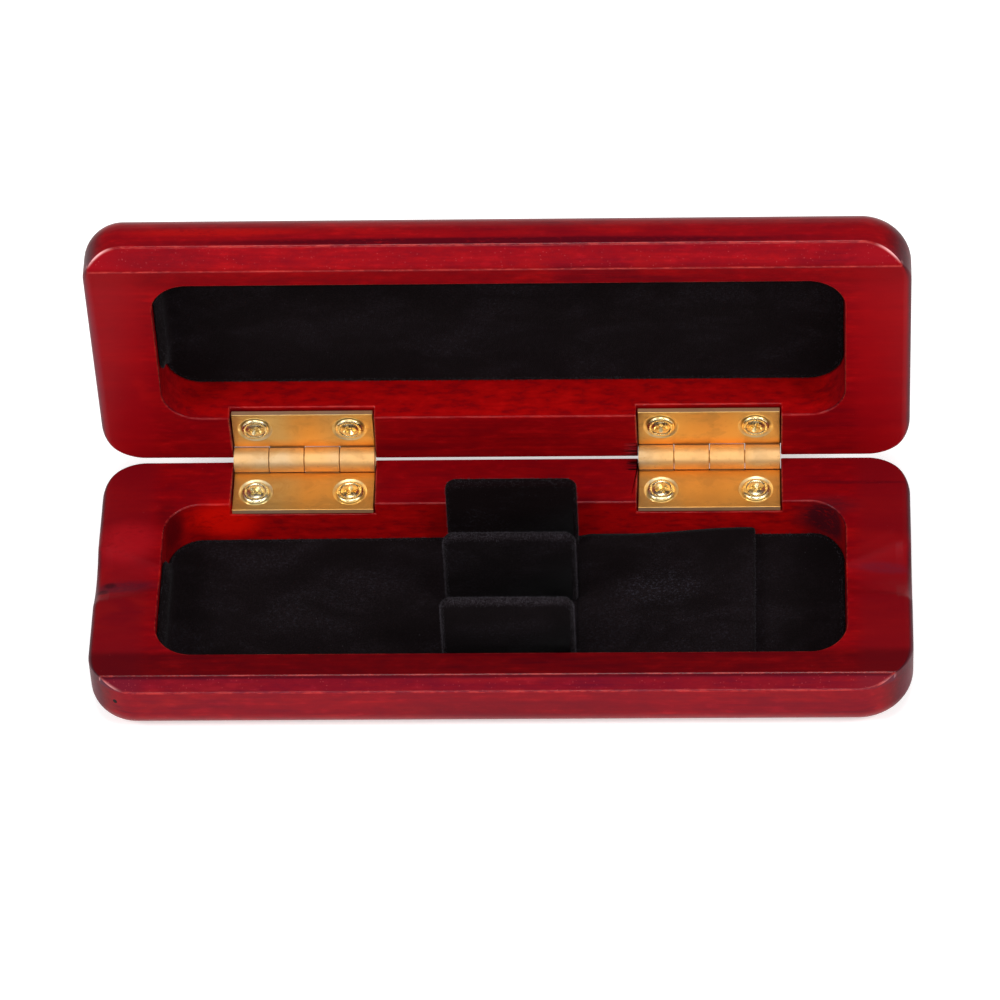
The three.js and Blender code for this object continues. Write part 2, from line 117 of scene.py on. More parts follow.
# %% Sizes of the halves, in millimetres
END_EASE = 1.15
EASE_END = math.sin(math.radians(52))
POCKET_EASE = 0.25
SIDE_SHARES = (0.3, 0.6, 0.85)
WALL_RINGS = (1.4, 3.2)
RIM_GAP = 0.2
HINGE_SETBACK = 0.25
OVERRUN = 1.0
EDGE_STEPS = 14
EASE_STEPS = 7
ARRIS = 0.19
ARRIS_SOFTNESS = 0.12
RING_PITCH = 0.07
FRONT_STEPS = 48
END_POINTS = 60
BACK_POINTS = 40
BOW_REACH = 5.0

RIM_Z = -RIM_GAP / 2
OUTER_Z = RIM_Z - HALF_HEIGHT
BACK_Y = -HINGE_SETBACK
FRONT_Y = BACK_Y - CASE_DEPTH
MIDDLE_Y = (BACK_Y + FRONT_Y) / 2

POCKET_LENGTH = 89.0
POCKET_CORNER_RADIUS = 4.8
LINING_THICKNESS = 1.06

HINGE_LENGTH = 18.8
HINGE_PLACES = (-26.65, 26.65)
LEAF_LENGTH = 18.6
LEAF_SHIFT = 0.1
BARREL_SIDE_GAP = 0.06
MORTISE_SPLAY = 0.3
MORTISE_DEPTH = 2.1
SCREW_SHIFTS = (-6.2, 6.2)
SCREW_Y = -4.92
PILOT_RADIUS = 0.81
PILOT_DEPTH = 5.26

SCOOP_RADIUS = 10.2
SCOOP_OUTER_DEPTH = 1.2
SCOOP_INNER_DEPTH = 0.3
SCOOP_SOFTNESS = 0.12
SCOOP_FADE = 3.0

base = {"edge": 3.5, "corners": (5.6, 5.6, 6.2, 7.2), "rear_rim": 7.6, "pocket_width": 25.7,
        "open_depth": 6.6, "slope_width": 1.85, "slope_drop": 1.4, "scooped": True, "turned": 1}
lid = {"edge": 4.9, "corners": (5.6, 5.6, 6.5, 5.1), "rear_rim": 7.8, "pocket_width": 25.4,
       "open_depth": 6.25, "slope_width": 2.85, "slope_drop": 1.8, "scooped": False, "turned": -1}

# %% [markdown]
# One way to make a surface
#
# Nearly every piece here is a loft: rings of points, each ring with the same number of points,
# joined to the next by a band of quads. A slab with rounded edges, a rolled knuckle, a screw head
# and a cutting body are all lofts, and only the rings differ. Working the rings out as whole numpy
# arrays keeps each shape a short formula.

# %% Rings and lofts
CORNER_STEPS = 24
ROUND_STEPS = 48


def rounded_rectangle(length, width, radii, x=0.0, y=0.0, steps=(CORNER_STEPS,) * 4, end_points=0,
                      back_points=0):
    """Counter-clockwise points of a rectangle about (x, y) whose corners are quarter circles.

    radii and steps are those of the right back, left back, left front and right front corners. The
    straight left and right sides can have points of their own between the corners, and so can the
    straight back."""
    signs = [(1, 1), (-1, 1), (-1, -1), (1, -1)]
    points = []
    for index, ((across, along), radius, count) in enumerate(zip(signs, radii, steps)):
        turn = np.linspace(0, math.pi / 2, count + 1) + index * math.pi / 2
        centre = (x + across * (length / 2 - radius), y + along * (width / 2 - radius))
        points.append(np.stack([centre[0] + radius * np.cos(turn),
                                centre[1] + radius * np.sin(turn)], axis=1))
    if end_points:
        share = np.linspace(0, 1, end_points + 2)[1:-1, None]
        points.insert(2, points[1][-1] * (1 - share) + points[2][0] * share)
        points.append(points[-1][-1] * (1 - share) + points[0][0] * share)
    if back_points:
        share = np.linspace(0, 1, back_points + 2)[1:-1, None]
        points.insert(1, points[0][-1] * (1 - share) + points[1][0] * share)
    return np.concatenate(points)


def raised(outline, heights):
    """Rings: the same plan outline at each height."""
    return np.stack([np.column_stack([outline, np.full(len(outline), z)]) for z in heights])


def turned_rings(radii, heights, steps=ROUND_STEPS):
    """Rings of a turned shape about the z axis: a circle of each radius at each height."""
    angles = np.linspace(0, 2 * math.pi, steps, endpoint=False)
    circle = np.column_stack([np.cos(angles), np.sin(angles)])
    return np.stack([np.column_stack([circle * max(r, 1e-4), np.full(steps, z)])
                     for r, z in zip(radii, heights)])


def along_x(section, places):
    """Rings: a (y, z) section carried along X to each place."""
    section = np.asarray(section, float)
    return np.stack([np.column_stack([np.full(len(section), x), section]) for x in places])


def loft(name, rings):
    """A closed mesh from rings[m, n, 3]: quads between neighbouring rings, and a face on each end."""
    m, n = rings.shape[:2]
    grid = np.arange(m * n).reshape(m, n)
    after = np.roll(grid, -1, axis=1)
    quads = np.stack([grid[:-1], after[:-1], after[1:], grid[1:]], axis=-1).reshape(-1, 4)
    faces = quads.tolist() + [grid[0, ::-1].tolist(), grid[-1].tolist()]
    mesh = bpy.data.meshes.new(name)
    mesh.from_pydata(rings.reshape(-1, 3).tolist(), [], faces)
    mesh.update()
    return mesh


def new_object(name, mesh):
    made = bpy.data.objects.new(name, mesh)
    bpy.context.scene.collection.objects.link(made)
    return made


# %% [markdown]
# Cutting and easing
#
# The real halves are milled out of the solid, so the tidy way to make them is the same: a blank,
# then cutting bodies taken away one after another. A Boolean modifier does each cut. After that a
# Bevel modifier rounds the edges that a rule picks, as sandpaper or a file does, and the strips
# that it adds catch the thin bright lines that make a cut edge look real. The result is read back
# as plain points, so nothing live is left on the finished piece.

# %% Cut, ease and finish a piece
EASED = 1
CRISP = math.radians(40)


def cut(body, cutters):
    """Takes each cutting mesh away from the body's object."""
    for index, mesh in enumerate(cutters):
        tool = new_object(f"cutter_{index}", mesh)
        change = body.modifiers.new("cut", "BOOLEAN")
        change.operation = "DIFFERENCE"
        change.solver = "EXACT"
        change.object = tool
        tool.hide_render = True
    settle(body)
    for tool in [o for o in bpy.data.objects if o.name.startswith("cutter_")]:
        bpy.data.objects.remove(tool)


def settle(body):
    """Replaces the body's mesh by what its modifiers make of it."""
    bpy.context.view_layer.update()
    seen = body.evaluated_get(bpy.context.evaluated_depsgraph_get())
    mesh = bpy.data.meshes.new_from_object(seen)
    body.modifiers.clear()
    body.data = mesh


def ease(body, width, picks, steps=3):
    """Rounds each edge over a share of the width, which the rule gives from the edge's angle and
    middle, and lets the flat faces lead the shading. Other sharp edges stay crisp."""
    work = bmesh.new()
    work.from_mesh(body.data)
    weight = work.edges.layers.float.new("bevel_weight_edge")
    for edge in work.edges:
        angle = edge.calc_face_angle_signed(0.0)
        middle = (edge.verts[0].co + edge.verts[1].co) / 2
        edge[weight] = float(picks(angle, middle))
        edge.smooth = edge[weight] > 0 or abs(angle) < CRISP
    work.to_mesh(body.data)
    work.free()
    body.data.polygons.foreach_set("use_smooth", [True] * len(body.data.polygons))
    soften = body.modifiers.new("ease", "BEVEL")
    soften.width = width
    soften.segments = steps
    soften.limit_method = "WEIGHT"
    soften.use_clamp_overlap = False
    soften.loop_slide = False
    soften.material = EASED
    soften.face_strength_mode = "FSTR_ALL"
    lead = body.modifiers.new("flat faces lead", "WEIGHTED_NORMAL")
    lead.use_face_influence = True
    lead.keep_sharp = True
    settle(body)


def points_of(mesh):
    flat = np.empty(len(mesh.vertices) * 3)
    mesh.vertices.foreach_get("co", flat)
    return flat.reshape(-1, 3)


def finish_piece(body, place, rides, materials, replaced):
    """Brings a piece into the row frame and keeps its own points as the board attribute. Smooths its
    shading, gives it its materials, hangs it on its body and hides the CAD parts that it replaces.
    """
    mesh = body.data
    board = mesh.attributes.new("board", "FLOAT_VECTOR", "POINT")
    board.data.foreach_set("vector", points_of(mesh).ravel())
    mesh.vertices.foreach_set("co", place(points_of(mesh)).ravel())
    mesh.polygons.foreach_set("use_smooth", [True] * len(mesh.polygons))
    kinds = np.empty(len(mesh.polygons), dtype=np.int32)
    mesh.polygons.foreach_get("material_index", kinds)
    mesh.materials.clear()
    for material in materials:
        mesh.materials.append(material)
    mesh.polygons.foreach_set("material_index", kinds)
    mesh.update()
    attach(body, rides)
    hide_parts(*replaced)
    return body


# %% [markdown]
# Sums on sockets
#
# A procedural finish is arithmetic on patterns: streaks times a mask, plus a tint, and so on. Wired
# by hand that is dozens of Math nodes. A small class that wraps one socket and overloads the
# operators lets each finish be written as a formula. Every node is made by its one method for
# nodes, and the patterns and masks that the finishes share are short methods on top of it.

# %% Display colours
def linear(red, green, blue):
    """A display colour from 0 to 255 as linear light: the standard curve, channel by channel."""
    share = np.array([red, green, blue]) / 255
    light = np.where(share <= 0.04045, share / 12.92, ((share + 0.055) / 1.055) ** 2.4)
    return (*light.tolist(), 1.0)


print("middle grey as linear light:", round(linear(128, 128, 128)[0], 3))


# %% A socket that can be calculated with
class Field:
    """A socket of a material's node tree. An operator on it adds the Math node that works it out."""

    def __init__(self, tree, socket):
        self.tree = tree
        self.socket = socket

    def node(self, kind, settings=None, inputs=None, output=0):
        """A new node: its settings come first, then a value or link for each socket named."""
        made = self.tree.nodes.new(kind)
        for name, value in (settings or {}).items():
            setattr(made, name, value)
        for name, value in (inputs or {}).items():
            if isinstance(value, Field):
                self.tree.links.new(value.socket, made.inputs[name])
            else:
                made.inputs[name].default_value = value
        return Field(self.tree, made.outputs[output])

    def sum(self, operation, first, second=0.0, third=0.0):
        return self.node("ShaderNodeMath", {"operation": operation}, {0: first, 1: second, 2: third})

    def __add__(self, other):
        return self.sum("ADD", self, other)

    __radd__ = __add__

    def __sub__(self, other):
        return self.sum("SUBTRACT", self, other)

    def __rsub__(self, other):
        return self.sum("SUBTRACT", other, self)

    def __mul__(self, other):
        return self.sum("MULTIPLY", self, other)

    __rmul__ = __mul__

    def __abs__(self):
        return self.sum("ABSOLUTE", self)

    def lesser(self, other, softness):
        """The lesser of this and another value, rounded where they are nearer than the softness."""
        return self.sum("SMOOTH_MIN", self, other, softness)

    def step(self, low, high):
        """0 below low, 1 above high, and a smooth rise between them."""
        return self.node("ShaderNodeMapRange", {"interpolation_type": "SMOOTHSTEP"},
                         {"Value": self, "From Min": low, "From Max": high})

    def attribute(self, name, output="Vector"):
        """What the points of the mesh carry under a name."""
        return self.node("ShaderNodeAttribute", {"attribute_name": name}, {}, output)

    def part(self, axis):
        """One coordinate of this vector."""
        return self.node("ShaderNodeSeparateXYZ", {}, {"Vector": self}, axis)

    def stretch(self, scale, shift=(0.0, 0.0, 0.0)):
        """This point with each coordinate multiplied, so that a pattern on it gets drawn out."""
        return self.node("ShaderNodeMapping", {}, {"Vector": self, "Scale": scale, "Location": shift})

    def noise(self, often, detail, roughness, distortion=0.0, shift=(0.0, 0.0, 0.0)):
        """Soft noise, from 0 to 1 and mostly near a half, that changes so often along each axis."""
        return self.node("ShaderNodeTexNoise", {}, {
            "Vector": self.stretch(often, shift), "Scale": 1.0, "Detail": detail,
            "Roughness": roughness, "Distortion": distortion})

    def specks(self, scale, size, spare):
        """1 inside small round dots, one to a cell of a Voronoi pattern, and only in some cells."""
        cells = {"Vector": self, "Scale": scale}
        near = self.node("ShaderNodeTexVoronoi", {"feature": "F1"}, cells)
        colour = self.node("ShaderNodeTexVoronoi", {"feature": "F1"}, cells, "Color")
        pick = self.node("ShaderNodeSeparateColor", {}, {"Color": colour})
        return (1 - near.step(size * 0.6, size)) * pick.step(spare, spare + 0.01)

    def near(self, centre, reach):
        """1 at a centre and 0 outside an ellipsoid with that reach along each axis."""
        scaled = self.stretch([1 / r for r in reach], [-c / r for c, r in zip(centre, reach)])
        away = self.node("ShaderNodeVectorMath", {"operation": "LENGTH"}, {0: scaled}, "Value")
        return 1 - away.step(0.35, 1.0)

    def times(self, factor):
        """This colour with each channel multiplied."""
        return self.node("ShaderNodeVectorMath", {"operation": "MULTIPLY"}, {0: self, 1: factor})

    def mixed(self, *colours):
        """From the first colour, where this is 0, to the second, where it is 1. Each colour is a
        field or a display colour."""
        first, second = (c if isinstance(c, Field) else linear(*c) for c in colours)
        return self.node("ShaderNodeMix", {"data_type": "RGBA", "clamp_factor": True},
                         {"Factor": self, 6: first, 7: second}, 2)

    def bump(self, height_mm):
        """The surface normal, tilted by this height in millimetres."""
        return self.node("ShaderNodeBump", {}, {"Height": self * height_mm, "Distance": MM})


# %% New materials
def new_material(name, **values):
    """A material with one Principled shader. Returns it, its shader and the point in millimetres."""
    material = bpy.data.materials.new(name)
    material.use_nodes = True
    tree = material.node_tree
    shader = tree.nodes["Principled BSDF"]
    for socket, value in values.items():
        shader.inputs[socket.replace("_", " ")].default_value = value
    metres = Field(tree, tree.nodes.new("ShaderNodeTexCoord").outputs["Object"])
    return material, shader, metres.stretch((1 / MM,) * 3)


def drive(shader, field, socket):
    field.tree.links.new(field.socket, shader.inputs[socket])


def two_tone(name, often, detail, roughness, tints, **values):
    """A plain finish that wavers between two display colours."""
    material, shader, place = new_material(name, **values)
    drive(shader, place.noise((often,) * 3, detail, roughness).mixed(*tints), "Base Color")
    return material


# %% [markdown]
# Stained wood
#
# The halves are a pale, close-grained hardwood under red stain and a thin lacquer. Stain sinks in
# unevenly: smears a few centimetres long follow the grain, orange-red where it took lightly and
# maroon where the wood drank it up. Every pattern is noise in the board's own millimetres, which each
# half carries as an attribute, so the grain runs on over its edges. Zones of a half multiply the
# colour by factors of their own, and most of these are painted light and shade: the ends, the groove
# and the face are painted pinker and paler, a painted reflection, and the base's level rim is darker,
# painted shade. The front strip of the rim is darker too, and the milled pocket walls are the cleanest
# red. Each zone is a mask worked out from the place on the board. Single marks are soft blots at a
# place, broken up by the pattern: some are knots and runs of stain, others are painted shade in the
# base's end scoop and pocket corners, and painted light, shade and sheen on the lid's face and end.
#
# Arrises are paler, because sanding thins the stain. The points of each half carry how worn they are
# as a second attribute. A few rubbed places, on the slope's front corners, are painted pale pink: the
# stain worn through to the wood there, and a painted highlight along the corner arcs.

# %% Zones of a half
POCKET_END = POCKET_LENGTH / 2
POCKET_MIDDLE = -20.7
POCKET_SIDE = 13.1
FRONT_STRIP = (32.6, 34.0)
FRONT_FACE = (37.8, 38.9)


def zone_masks(half, x, y, z):
    """1 inside each zone of a half and 0 outside, from the place on the board."""
    forward, groove, drop = 0 - y, FRONT_Y + half["slope_width"], half["slope_drop"]
    level = z.step(-0.5, -0.25)
    inside = (1 - abs(x).step(POCKET_END + 0.1, POCKET_END + 0.3)) * (
        1 - abs(y - POCKET_MIDDLE).step(POCKET_SIDE, POCKET_SIDE + 0.2))
    return {"level": level,
            "ends": abs(x).step(POCKET_END + 0.1, POCKET_END + 3.0) * z.step(-1.7, -1.3),
            "front": forward.step(*FRONT_STRIP) * level,
            "slope": ((groove - y).step(-0.1, 0.15) * z.step(-drop - 0.2, -drop)
                      * (1 - z.step(-0.3, -0.12))),
            "face": forward.step(*FRONT_FACE) * (1 - z.step(-drop - 0.1, -drop)),
            "milled": z.step(OUTER_Z + 0.7, OUTER_Z + 0.9) * (1 - z.step(-0.5, -0.3)) * inside}


# %% Stained wood
# Of each pattern: how often it changes in a millimetre along x, y and z, its detail, its roughness
# and its distortion
WOOD_PATTERNS = {
    "broad": ((0.022, 0.10, 0.10), 2.0, 0.5, 0.4),
    "smear": ((0.060, 0.55, 0.55), 4.0, 0.55, 0.6),
    "fibre": ((0.10, 2.4, 2.4), 3.0, 0.6, 0.0),
    "pores": ((1.2, 3.0, 3.0), 3.0, 0.6, 0.0),
    "mottle": ((0.16, 0.26, 0.26), 3.0, 0.5, 0.3),
    "fine": ((0.35, 0.9, 0.9), 4.0, 0.65, 0.0),
    "flecks": ((0.5, 1.6, 1.6), 3.0, 0.7, 0.0)}
# The bare tint is pale wood with a painted highlight, for the rubbed corner arcs.
WOOD_TINTS = {
    "clear": (140, 6, 9), "red": (120, 3, 9), "maroon": (90, 2, 12), "orange": (150, 10, 8),
    "end_dark": (50, 5, 14), "end_red": (76, 8, 20), "milled": (164, 6, 5), "streak": (92, 3, 12),
    "speck": (196, 80, 84), "sanded": (204, 62, 52), "bare": (240, 176, 176)}
RUB_AND_HIGHLIGHT_REACH = (3.6, 3.2, 1.5)
HAZE = (0.95, 0.72, 1.0, 1.0)


def stained_wood(name, half, worn=0.0, **finish):
    """Layers of stain: each mixes a tint in, or multiplies the colour, by a pattern times a mask."""
    material, shader, point = new_material(name, **finish)
    place = point.attribute("board")
    broad, smear, fibre, pores, mottle, fine, flecks = (
        place.noise(*pattern, half["shift"]) for pattern in WOOD_PATTERNS.values())
    zones = zone_masks(half, *(place.part(axis) for axis in "XYZ"))
    end_grain = abs(point.node("ShaderNodeNewGeometry", {}, {}, "Normal").part("X")).step(0.36, 0.85)
    tint = WOOD_TINTS

    streaks = 1 - zones["ends"] * 0.8
    depth = (smear * 0.40 + fibre * 0.25 - 0.325) * streaks + broad * 0.35 + 0.325
    colour = depth.step(0.34, 0.52).mixed(tint["clear"], tint["red"])
    colour = depth.step(0.50, 0.70).mixed(colour, tint["maroon"])
    colour = (broad.step(0.50, 0.66) * mottle.step(0.40, 0.7) * 0.4).mixed(colour, tint["orange"])
    ends = (pores * 0.5 + mottle * 0.5).step(0.4, 0.62).mixed(tint["end_dark"], tint["end_red"])
    colour = (end_grain * 0.9).mixed(colour, ends)
    colour = (zones["milled"] * 0.5).mixed(colour, tint["milled"])
    dark = fine.step(0.46, 0.68) * streaks * (zones["milled"] * 0.25 + 0.35)
    colour = dark.mixed(colour, tint["streak"])
    colour = ((1 - fine.step(0.32, 0.48)) * streaks).mixed(colour, colour.times((1.22, 1.5, 1.3)))
    # Zone factors are mostly painted light and shade: a painted reflection on the ends, groove and
    # face, and painted shade on the base's level rim.
    for zone, factor in half["tone"].items():
        colour = zones[zone].mixed(colour, colour.times(factor))
    for centre, reach, mark, amount in half["marks"]:
        blot = place.near(centre, reach) * amount * (mottle * 0.5 + pores * 0.9).step(0.3, 0.75)
        colour = blot.mixed(colour, mark)
    specks = place.specks(2.6, 0.24, 0.55) * zones["slope"] + place.specks(1.1, 0.07, 0.85)
    colour = (specks * pores.step(0.35, 0.6) * 0.28).mixed(colour, tint["speck"])
    wear = point.attribute("worn", "Fac") + worn
    colour = (wear * flecks.step(0.40, 0.64) * 0.45).mixed(colour, tint["sanded"])
    # Rubbed places: stain worn through to pale wood, with a painted highlight along the corner arcs.
    for centre in half["rubbed"]:
        rub = place.near(centre, RUB_AND_HIGHLIGHT_REACH) * flecks.step(0.20, 0.40)
        colour = (wear * rub * 0.85).mixed(colour, tint["bare"])
    drive(shader, colour, "Base Color")
    drive(shader, finish["Roughness"] + fibre * 0.10 + end_grain * 0.06 - wear * 0.10, "Roughness")
    drive(shader, wear * 0.35 + 0.035, "Coat Weight")
    drive(shader, (fibre * 0.6 + pores * 0.4).bump(0.008), "Normal")
    return material


def woods(name, half):
    """The finish of a half and that of its mortises' eased edges."""
    return [stained_wood(name + end, half, worn, Roughness=0.30, Specular_IOR_Level=0.045,
                         Specular_Tint=HAZE, Coat_Roughness=0.22)
            for end, worn in (("", 0.0), ("_edge", 0.7))]


# %% How each half took the stain, and the light and shade painted on it
# Where the pattern of each half starts, what each zone multiplies the red, green and blue by, mostly
# painted light and shade, where it is rubbed and painted with a highlight, and its marks: centre,
# reach, display colour and strength
base["shift"], lid["shift"] = (0.0, 0.0, 0.0), (5.3, 2.1, 7.7)
# Painted reflection: pinker ends, groove and face. Painted shade: the base's darker level rim. The
# front strips are darker.
base["tone"] = {"level": (0.84, 0.9, 0.9), "ends": (0.86, 1.8, 1.5), "front": (0.55, 0.6, 0.7),
                "slope": (0.75, 2.9, 3.1), "face": (1.04, 2.5, 2.4)}
lid["tone"] = {"ends": (1.12, 1.3, 1.2), "front": (0.86, 0.6, 0.7), "slope": (1.05, 1.6, 1.7),
               "face": (1.06, 1.2, 1.3)}
# Rubbed places at the slope's front corners: worn stain and a painted highlight on the corner arcs.
base["rubbed"] = [(-51.2, -37.3, -1.7), (51.0, -37.0, -1.7)]
lid["rubbed"] = [(51.4, -37.2, -1.7), (-51.0, -37.0, -1.7)]
base["marks"] = [
    # painted shade on the near side of the left end's scoop
    ((-49.2, -21.6, -0.6), (6.5, 1.5, 2.0), (80, 10, 24), 0.9),
    ((-51.0, -21.1, -1.0), (1.1, 0.75, 1.6), (48, 4, 12), 0.8),
    ((-51.8, -22.4, -1.3), (1.2, 0.7, 1.8), (50, 5, 14), 0.9),
    ((-52.6, -36.2, -4.8), (2.2, 4.6, 3.4), (82, 8, 24), 1.3),
    ((52.4, -36.4, -4.8), (2.0, 4.6, 3.4), (86, 10, 26), 1.0),
    ((-37.0, -8.0, -3.2), (6.5, 2.5, 4.5), (200, 12, 4), 1.0),
    ((-49.4, -38.5, -3.6), (0.34, 0.8, 0.42), (8, 1, 2), 3.0),
    ((-48.9, -14.0, -0.5), (5.5, 4.5, 2.0), (146, 14, 22), 0.7),
    ((49.6, -18.9, -0.9), (5.0, 1.3, 2.0), (88, 20, 36), 0.5),
    ((49.5, -14.8, -0.5), (5.0, 2.2, 2.0), (140, 10, 14), 0.2),
    ((2.0, -39.0, -5.0), (24.0, 2.0, 3.2), (92, 10, 20), 0.5),
    # painted shade in the pocket's back right and back left corners
    ((42.6, -8.6, -3.0), (6.5, 3.0, 5.0), (66, 12, 20), 1.1),
    ((-44.2, -9.4, -3.0), (2.6, 4.0, 6.0), (84, 3, 8), 1.0),
    ((46.5, -4.6, -0.1), (9.0, 0.4, 1.0), (70, 4, 12), 0.6)]
lid["marks"] = [
    # painted light on the lid's face away from the slope, and painted shade in a band next to the slope
    ((36.0, -39.0, -4.4), (16.0, 2.0, 1.1), (160, 12, 9), 0.7),
    ((0.0, -39.0, -2.5), (55.0, 1.5, 0.9), (74, 1, 12), 1.1),
    ((43.0, -37.4, -1.0), (9.0, 2.4, 1.5), (104, 8, 18), 0.6),
    # painted sheen along one rounded end of the lid
    ((52.6, -21.0, -0.8), (1.3, 22.0, 1.6), (112, 34, 44), 0.7)]
print("marks on the base and the lid:", len(base["marks"]), len(lid["marks"]))

# %% [markdown]
# Velvet
#
# Black velvet gives back almost nothing where the eye looks down into the pile, and a soft grey
# where the pile stands against the light, along folds and edges. The shader's own sheen does the
# second part. Brushed patches, a fine unevenness and a few specks of lint do the rest. On the tabs
# it also carries a grey band along the top and the sides, a little dust and a painted sheen, most on
# the front tab. The rear tab's velvet is a darker, redder copy: painted shade with a painted red cast.

# %% Velvet
TAB_WIDTH = 17.1
TAB_RISE = 5.35
TAB_OFFSET = 1.2
PILE_RISE = 0.4
PILE_SHIFT = -0.2
TAB_TOP_Z = RIM_Z + TAB_RISE + PILE_RISE
BRUSHED_PATCH = ((20.5, 2.2, 4.0), (6.5, 4.5, 6.0))
BRUSHED_GREY = (40, 38, 45)
DUST_AND_SHEEN_GREY = (64, 59, 64)
LINT_GREY = (70, 66, 70)


def velvet(name, dust_and_sheen=0.0, low=(9, 5, 6), high=(24, 18, 21)):
    """Velvet whose pile is lighter in patches, and on a tab also within a millimetre of its outline."""
    material, shader, place = new_material(
        name, Roughness=0.95, Specular_IOR_Level=0.05, Sheen_Weight=0.03, Sheen_Roughness=0.4,
        Sheen_Tint=(0.85, 0.85, 0.9, 1.0))
    brushed = place.noise((0.10, 0.16, 0.16), 3.0, 0.6, 0.5)
    tufts = place.noise((6.0, 6.0, 6.0), 3.0, 0.7)
    clumps = place.noise((2.6, 3.2, 3.2), 4.0, 0.75)
    lint = place.specks(1.4, 0.10, 0.75) * tufts.step(0.4, 0.6)
    colour = (brushed * 0.35 + tufts * 0.65).step(0.42, 0.72).mixed(low, high)
    patch = brushed.step(0.46, 0.64) * 0.5 + place.near(*BRUSHED_PATCH) * 0.9
    colour = (patch * clumps.step(0.50, 0.72)).mixed(colour, BRUSHED_GREY)
    colour = (lint * 0.5).mixed(colour, LINT_GREY)
    # A grey band along a tab's top and sides: dust, and a painted sheen where the pile turns to the
    # light.
    if dust_and_sheen:
        board = place.attribute("board")
        from_side = TAB_WIDTH / 2 - abs(board.part("X") - TAB_OFFSET - PILE_SHIFT)
        inside = from_side.lesser(TAB_TOP_Z - board.part("Z"), 1.2)
        dust_and_sheen_band = (1 - inside.step(-0.4, 0.6)) * (clumps * 0.4 + tufts * 0.6).step(0.44, 0.60)
        colour = (dust_and_sheen_band * dust_and_sheen).mixed(colour, DUST_AND_SHEEN_GREY)
    drive(shader, colour, "Base Color")
    drive(shader, (tufts * 0.7 + brushed * 0.3).bump(0.10), "Normal")
    return material


black_velvet = velvet("black_velvet")
# The rear tab gets a darker, redder copy of the velvet: painted shade with a painted red cast.
tab_velvets = {"rear": velvet("tab_velvet_rear_shaded", 0.0, (9, 2, 3), (17, 8, 9)),
               "middle": velvet("tab_velvet_middle", 0.45), "front": velvet("tab_velvet_front", 0.7)}
# Stray hairs of black velvet, painted grey: a painted sheen.
fuzz_sheen_grey = two_tone("velvet_fuzz", 0.8, 2.0, 0.6, ((38, 35, 40), (84, 79, 86)),
                     Roughness=1.0, Specular_IOR_Level=0.1)
print("velvets made, with the linings' own:", 1 + len(tab_velvets))

# %% [markdown]
# Brass and board
#
# The leaves are satin brass sheet with a faint grain along X. Two tones lie over it in broad zones
# along X, a painted reflection of the room, with a dull stain and rubbed spots, and an amber painted
# reflection lies on it towards the barrels. The lid's leaves get a paler copy of the same brass,
# painted light. The cut edges are dull, the countersinks are bright, and the screws are brightest,
# because they are turned. So each of these is the same finish with a tint and a roughness of its own.

# %% Brass and board
COOL_REFLECTION_TONE = np.array((0.93, 1.0, 1.16))
STAIN_TONE = 0.88
RUBBED_BRASS = (150, 112, 70)
AMBER_REFLECTION = (255, 176, 62)
AMBER_REFLECTION_FROM, AMBER_REFLECTION_FULL = -3.3, -1.6


def brass(name, tint, rough, rub, metal=1.0, crease_reflection=0.0):
    """Brass of a tint and a roughness, with a share of worn spots and a share of amber painted
    reflection towards the barrels.
    """
    material, shader, place = new_material(name, Metallic=metal)
    grain = place.noise((0.5, 7.0, 7.0), 3.0, 0.6)
    stain = place.noise((0.35, 0.45, 0.45), 3.0, 0.6, 0.6)
    spots = place.noise((1.6, 1.9, 1.9), 4.0, 0.7)
    # Broad zones along X between two tones: a painted reflection of the room.
    zone = place.noise((0.13, 0.02, 0.02), 1.0, 0.5, 0.0, (3.1, 0.0, 0.0))
    back = place.attribute("board").part("Y")
    colour = zone.step(0.42, 0.58).mixed(tint, COOL_REFLECTION_TONE * tint)
    colour = (stain.step(0.45, 0.65) * 0.5).mixed(colour, STAIN_TONE * np.array(tint))
    colour = (spots.step(0.60, 0.74) * rub).mixed(colour, RUBBED_BRASS)
    # Amber towards the barrels: a painted reflection in the crease by the barrels.
    colour = (back.step(AMBER_REFLECTION_FROM, AMBER_REFLECTION_FULL) * crease_reflection).mixed(colour, AMBER_REFLECTION)
    drive(shader, colour, "Base Color")
    drive(shader, rough - 0.06 + stain * 0.22 + spots.step(0.5, 0.75) * 0.12, "Roughness")
    drive(shader, (grain * 0.6 + spots * 0.4).bump(0.006), "Normal")
    return material


hinge_brass = brass("hinge_brass", (220, 164, 90), 0.38, 0.25, crease_reflection=0.6)
# The lid's leaves get a paler, brighter copy of the base leaves' brass: painted light.
lid_brass_lit = brass("hinge_brass_lid_lit", (243, 197, 119), 0.40, 0.25, crease_reflection=0.6)
barrel_brass = brass("hinge_brass_barrel", (228, 180, 118), 0.50, 0.35)
cut_brass = brass("hinge_brass_cut", (148, 106, 72), 0.7, 0.3, 0.2)
sunk_brass = brass("hinge_brass_sunk", (252, 222, 158), 0.34, 0.15)
screw_brass = brass("screw_brass", (255, 228, 168), 0.20, 0.15)
board_card = two_tone("lining_board", 1.5, 4.0, 0.7, ((120, 112, 104), (160, 150, 140)),
                      Roughness=0.9)
print("materials in the file:", len(bpy.data.materials))

# %% [markdown]
# The two wooden halves
#
# A half could be a box with a smaller box cut out of it, and that leaves one flat face with a hole in
# it, which shades badly once its edges are eased. So the body and its pocket are one loft: the rings
# start on the outer face, climb the rounded edge and the side, roll over the rim, cross it, and go
# down the pocket's wall to its floor. The slope along the front, which makes a groove for a
# fingernail, is a plane that the rim's rings may not rise above. Only the straight mill cuts are cut
# afterwards: a mortise with two pilot holes for each hinge. The base also has a shallow scoop across
# each end rim, which tips outwards and lets air reach the reeds. It is sanded in, so there the rings
# just sink.

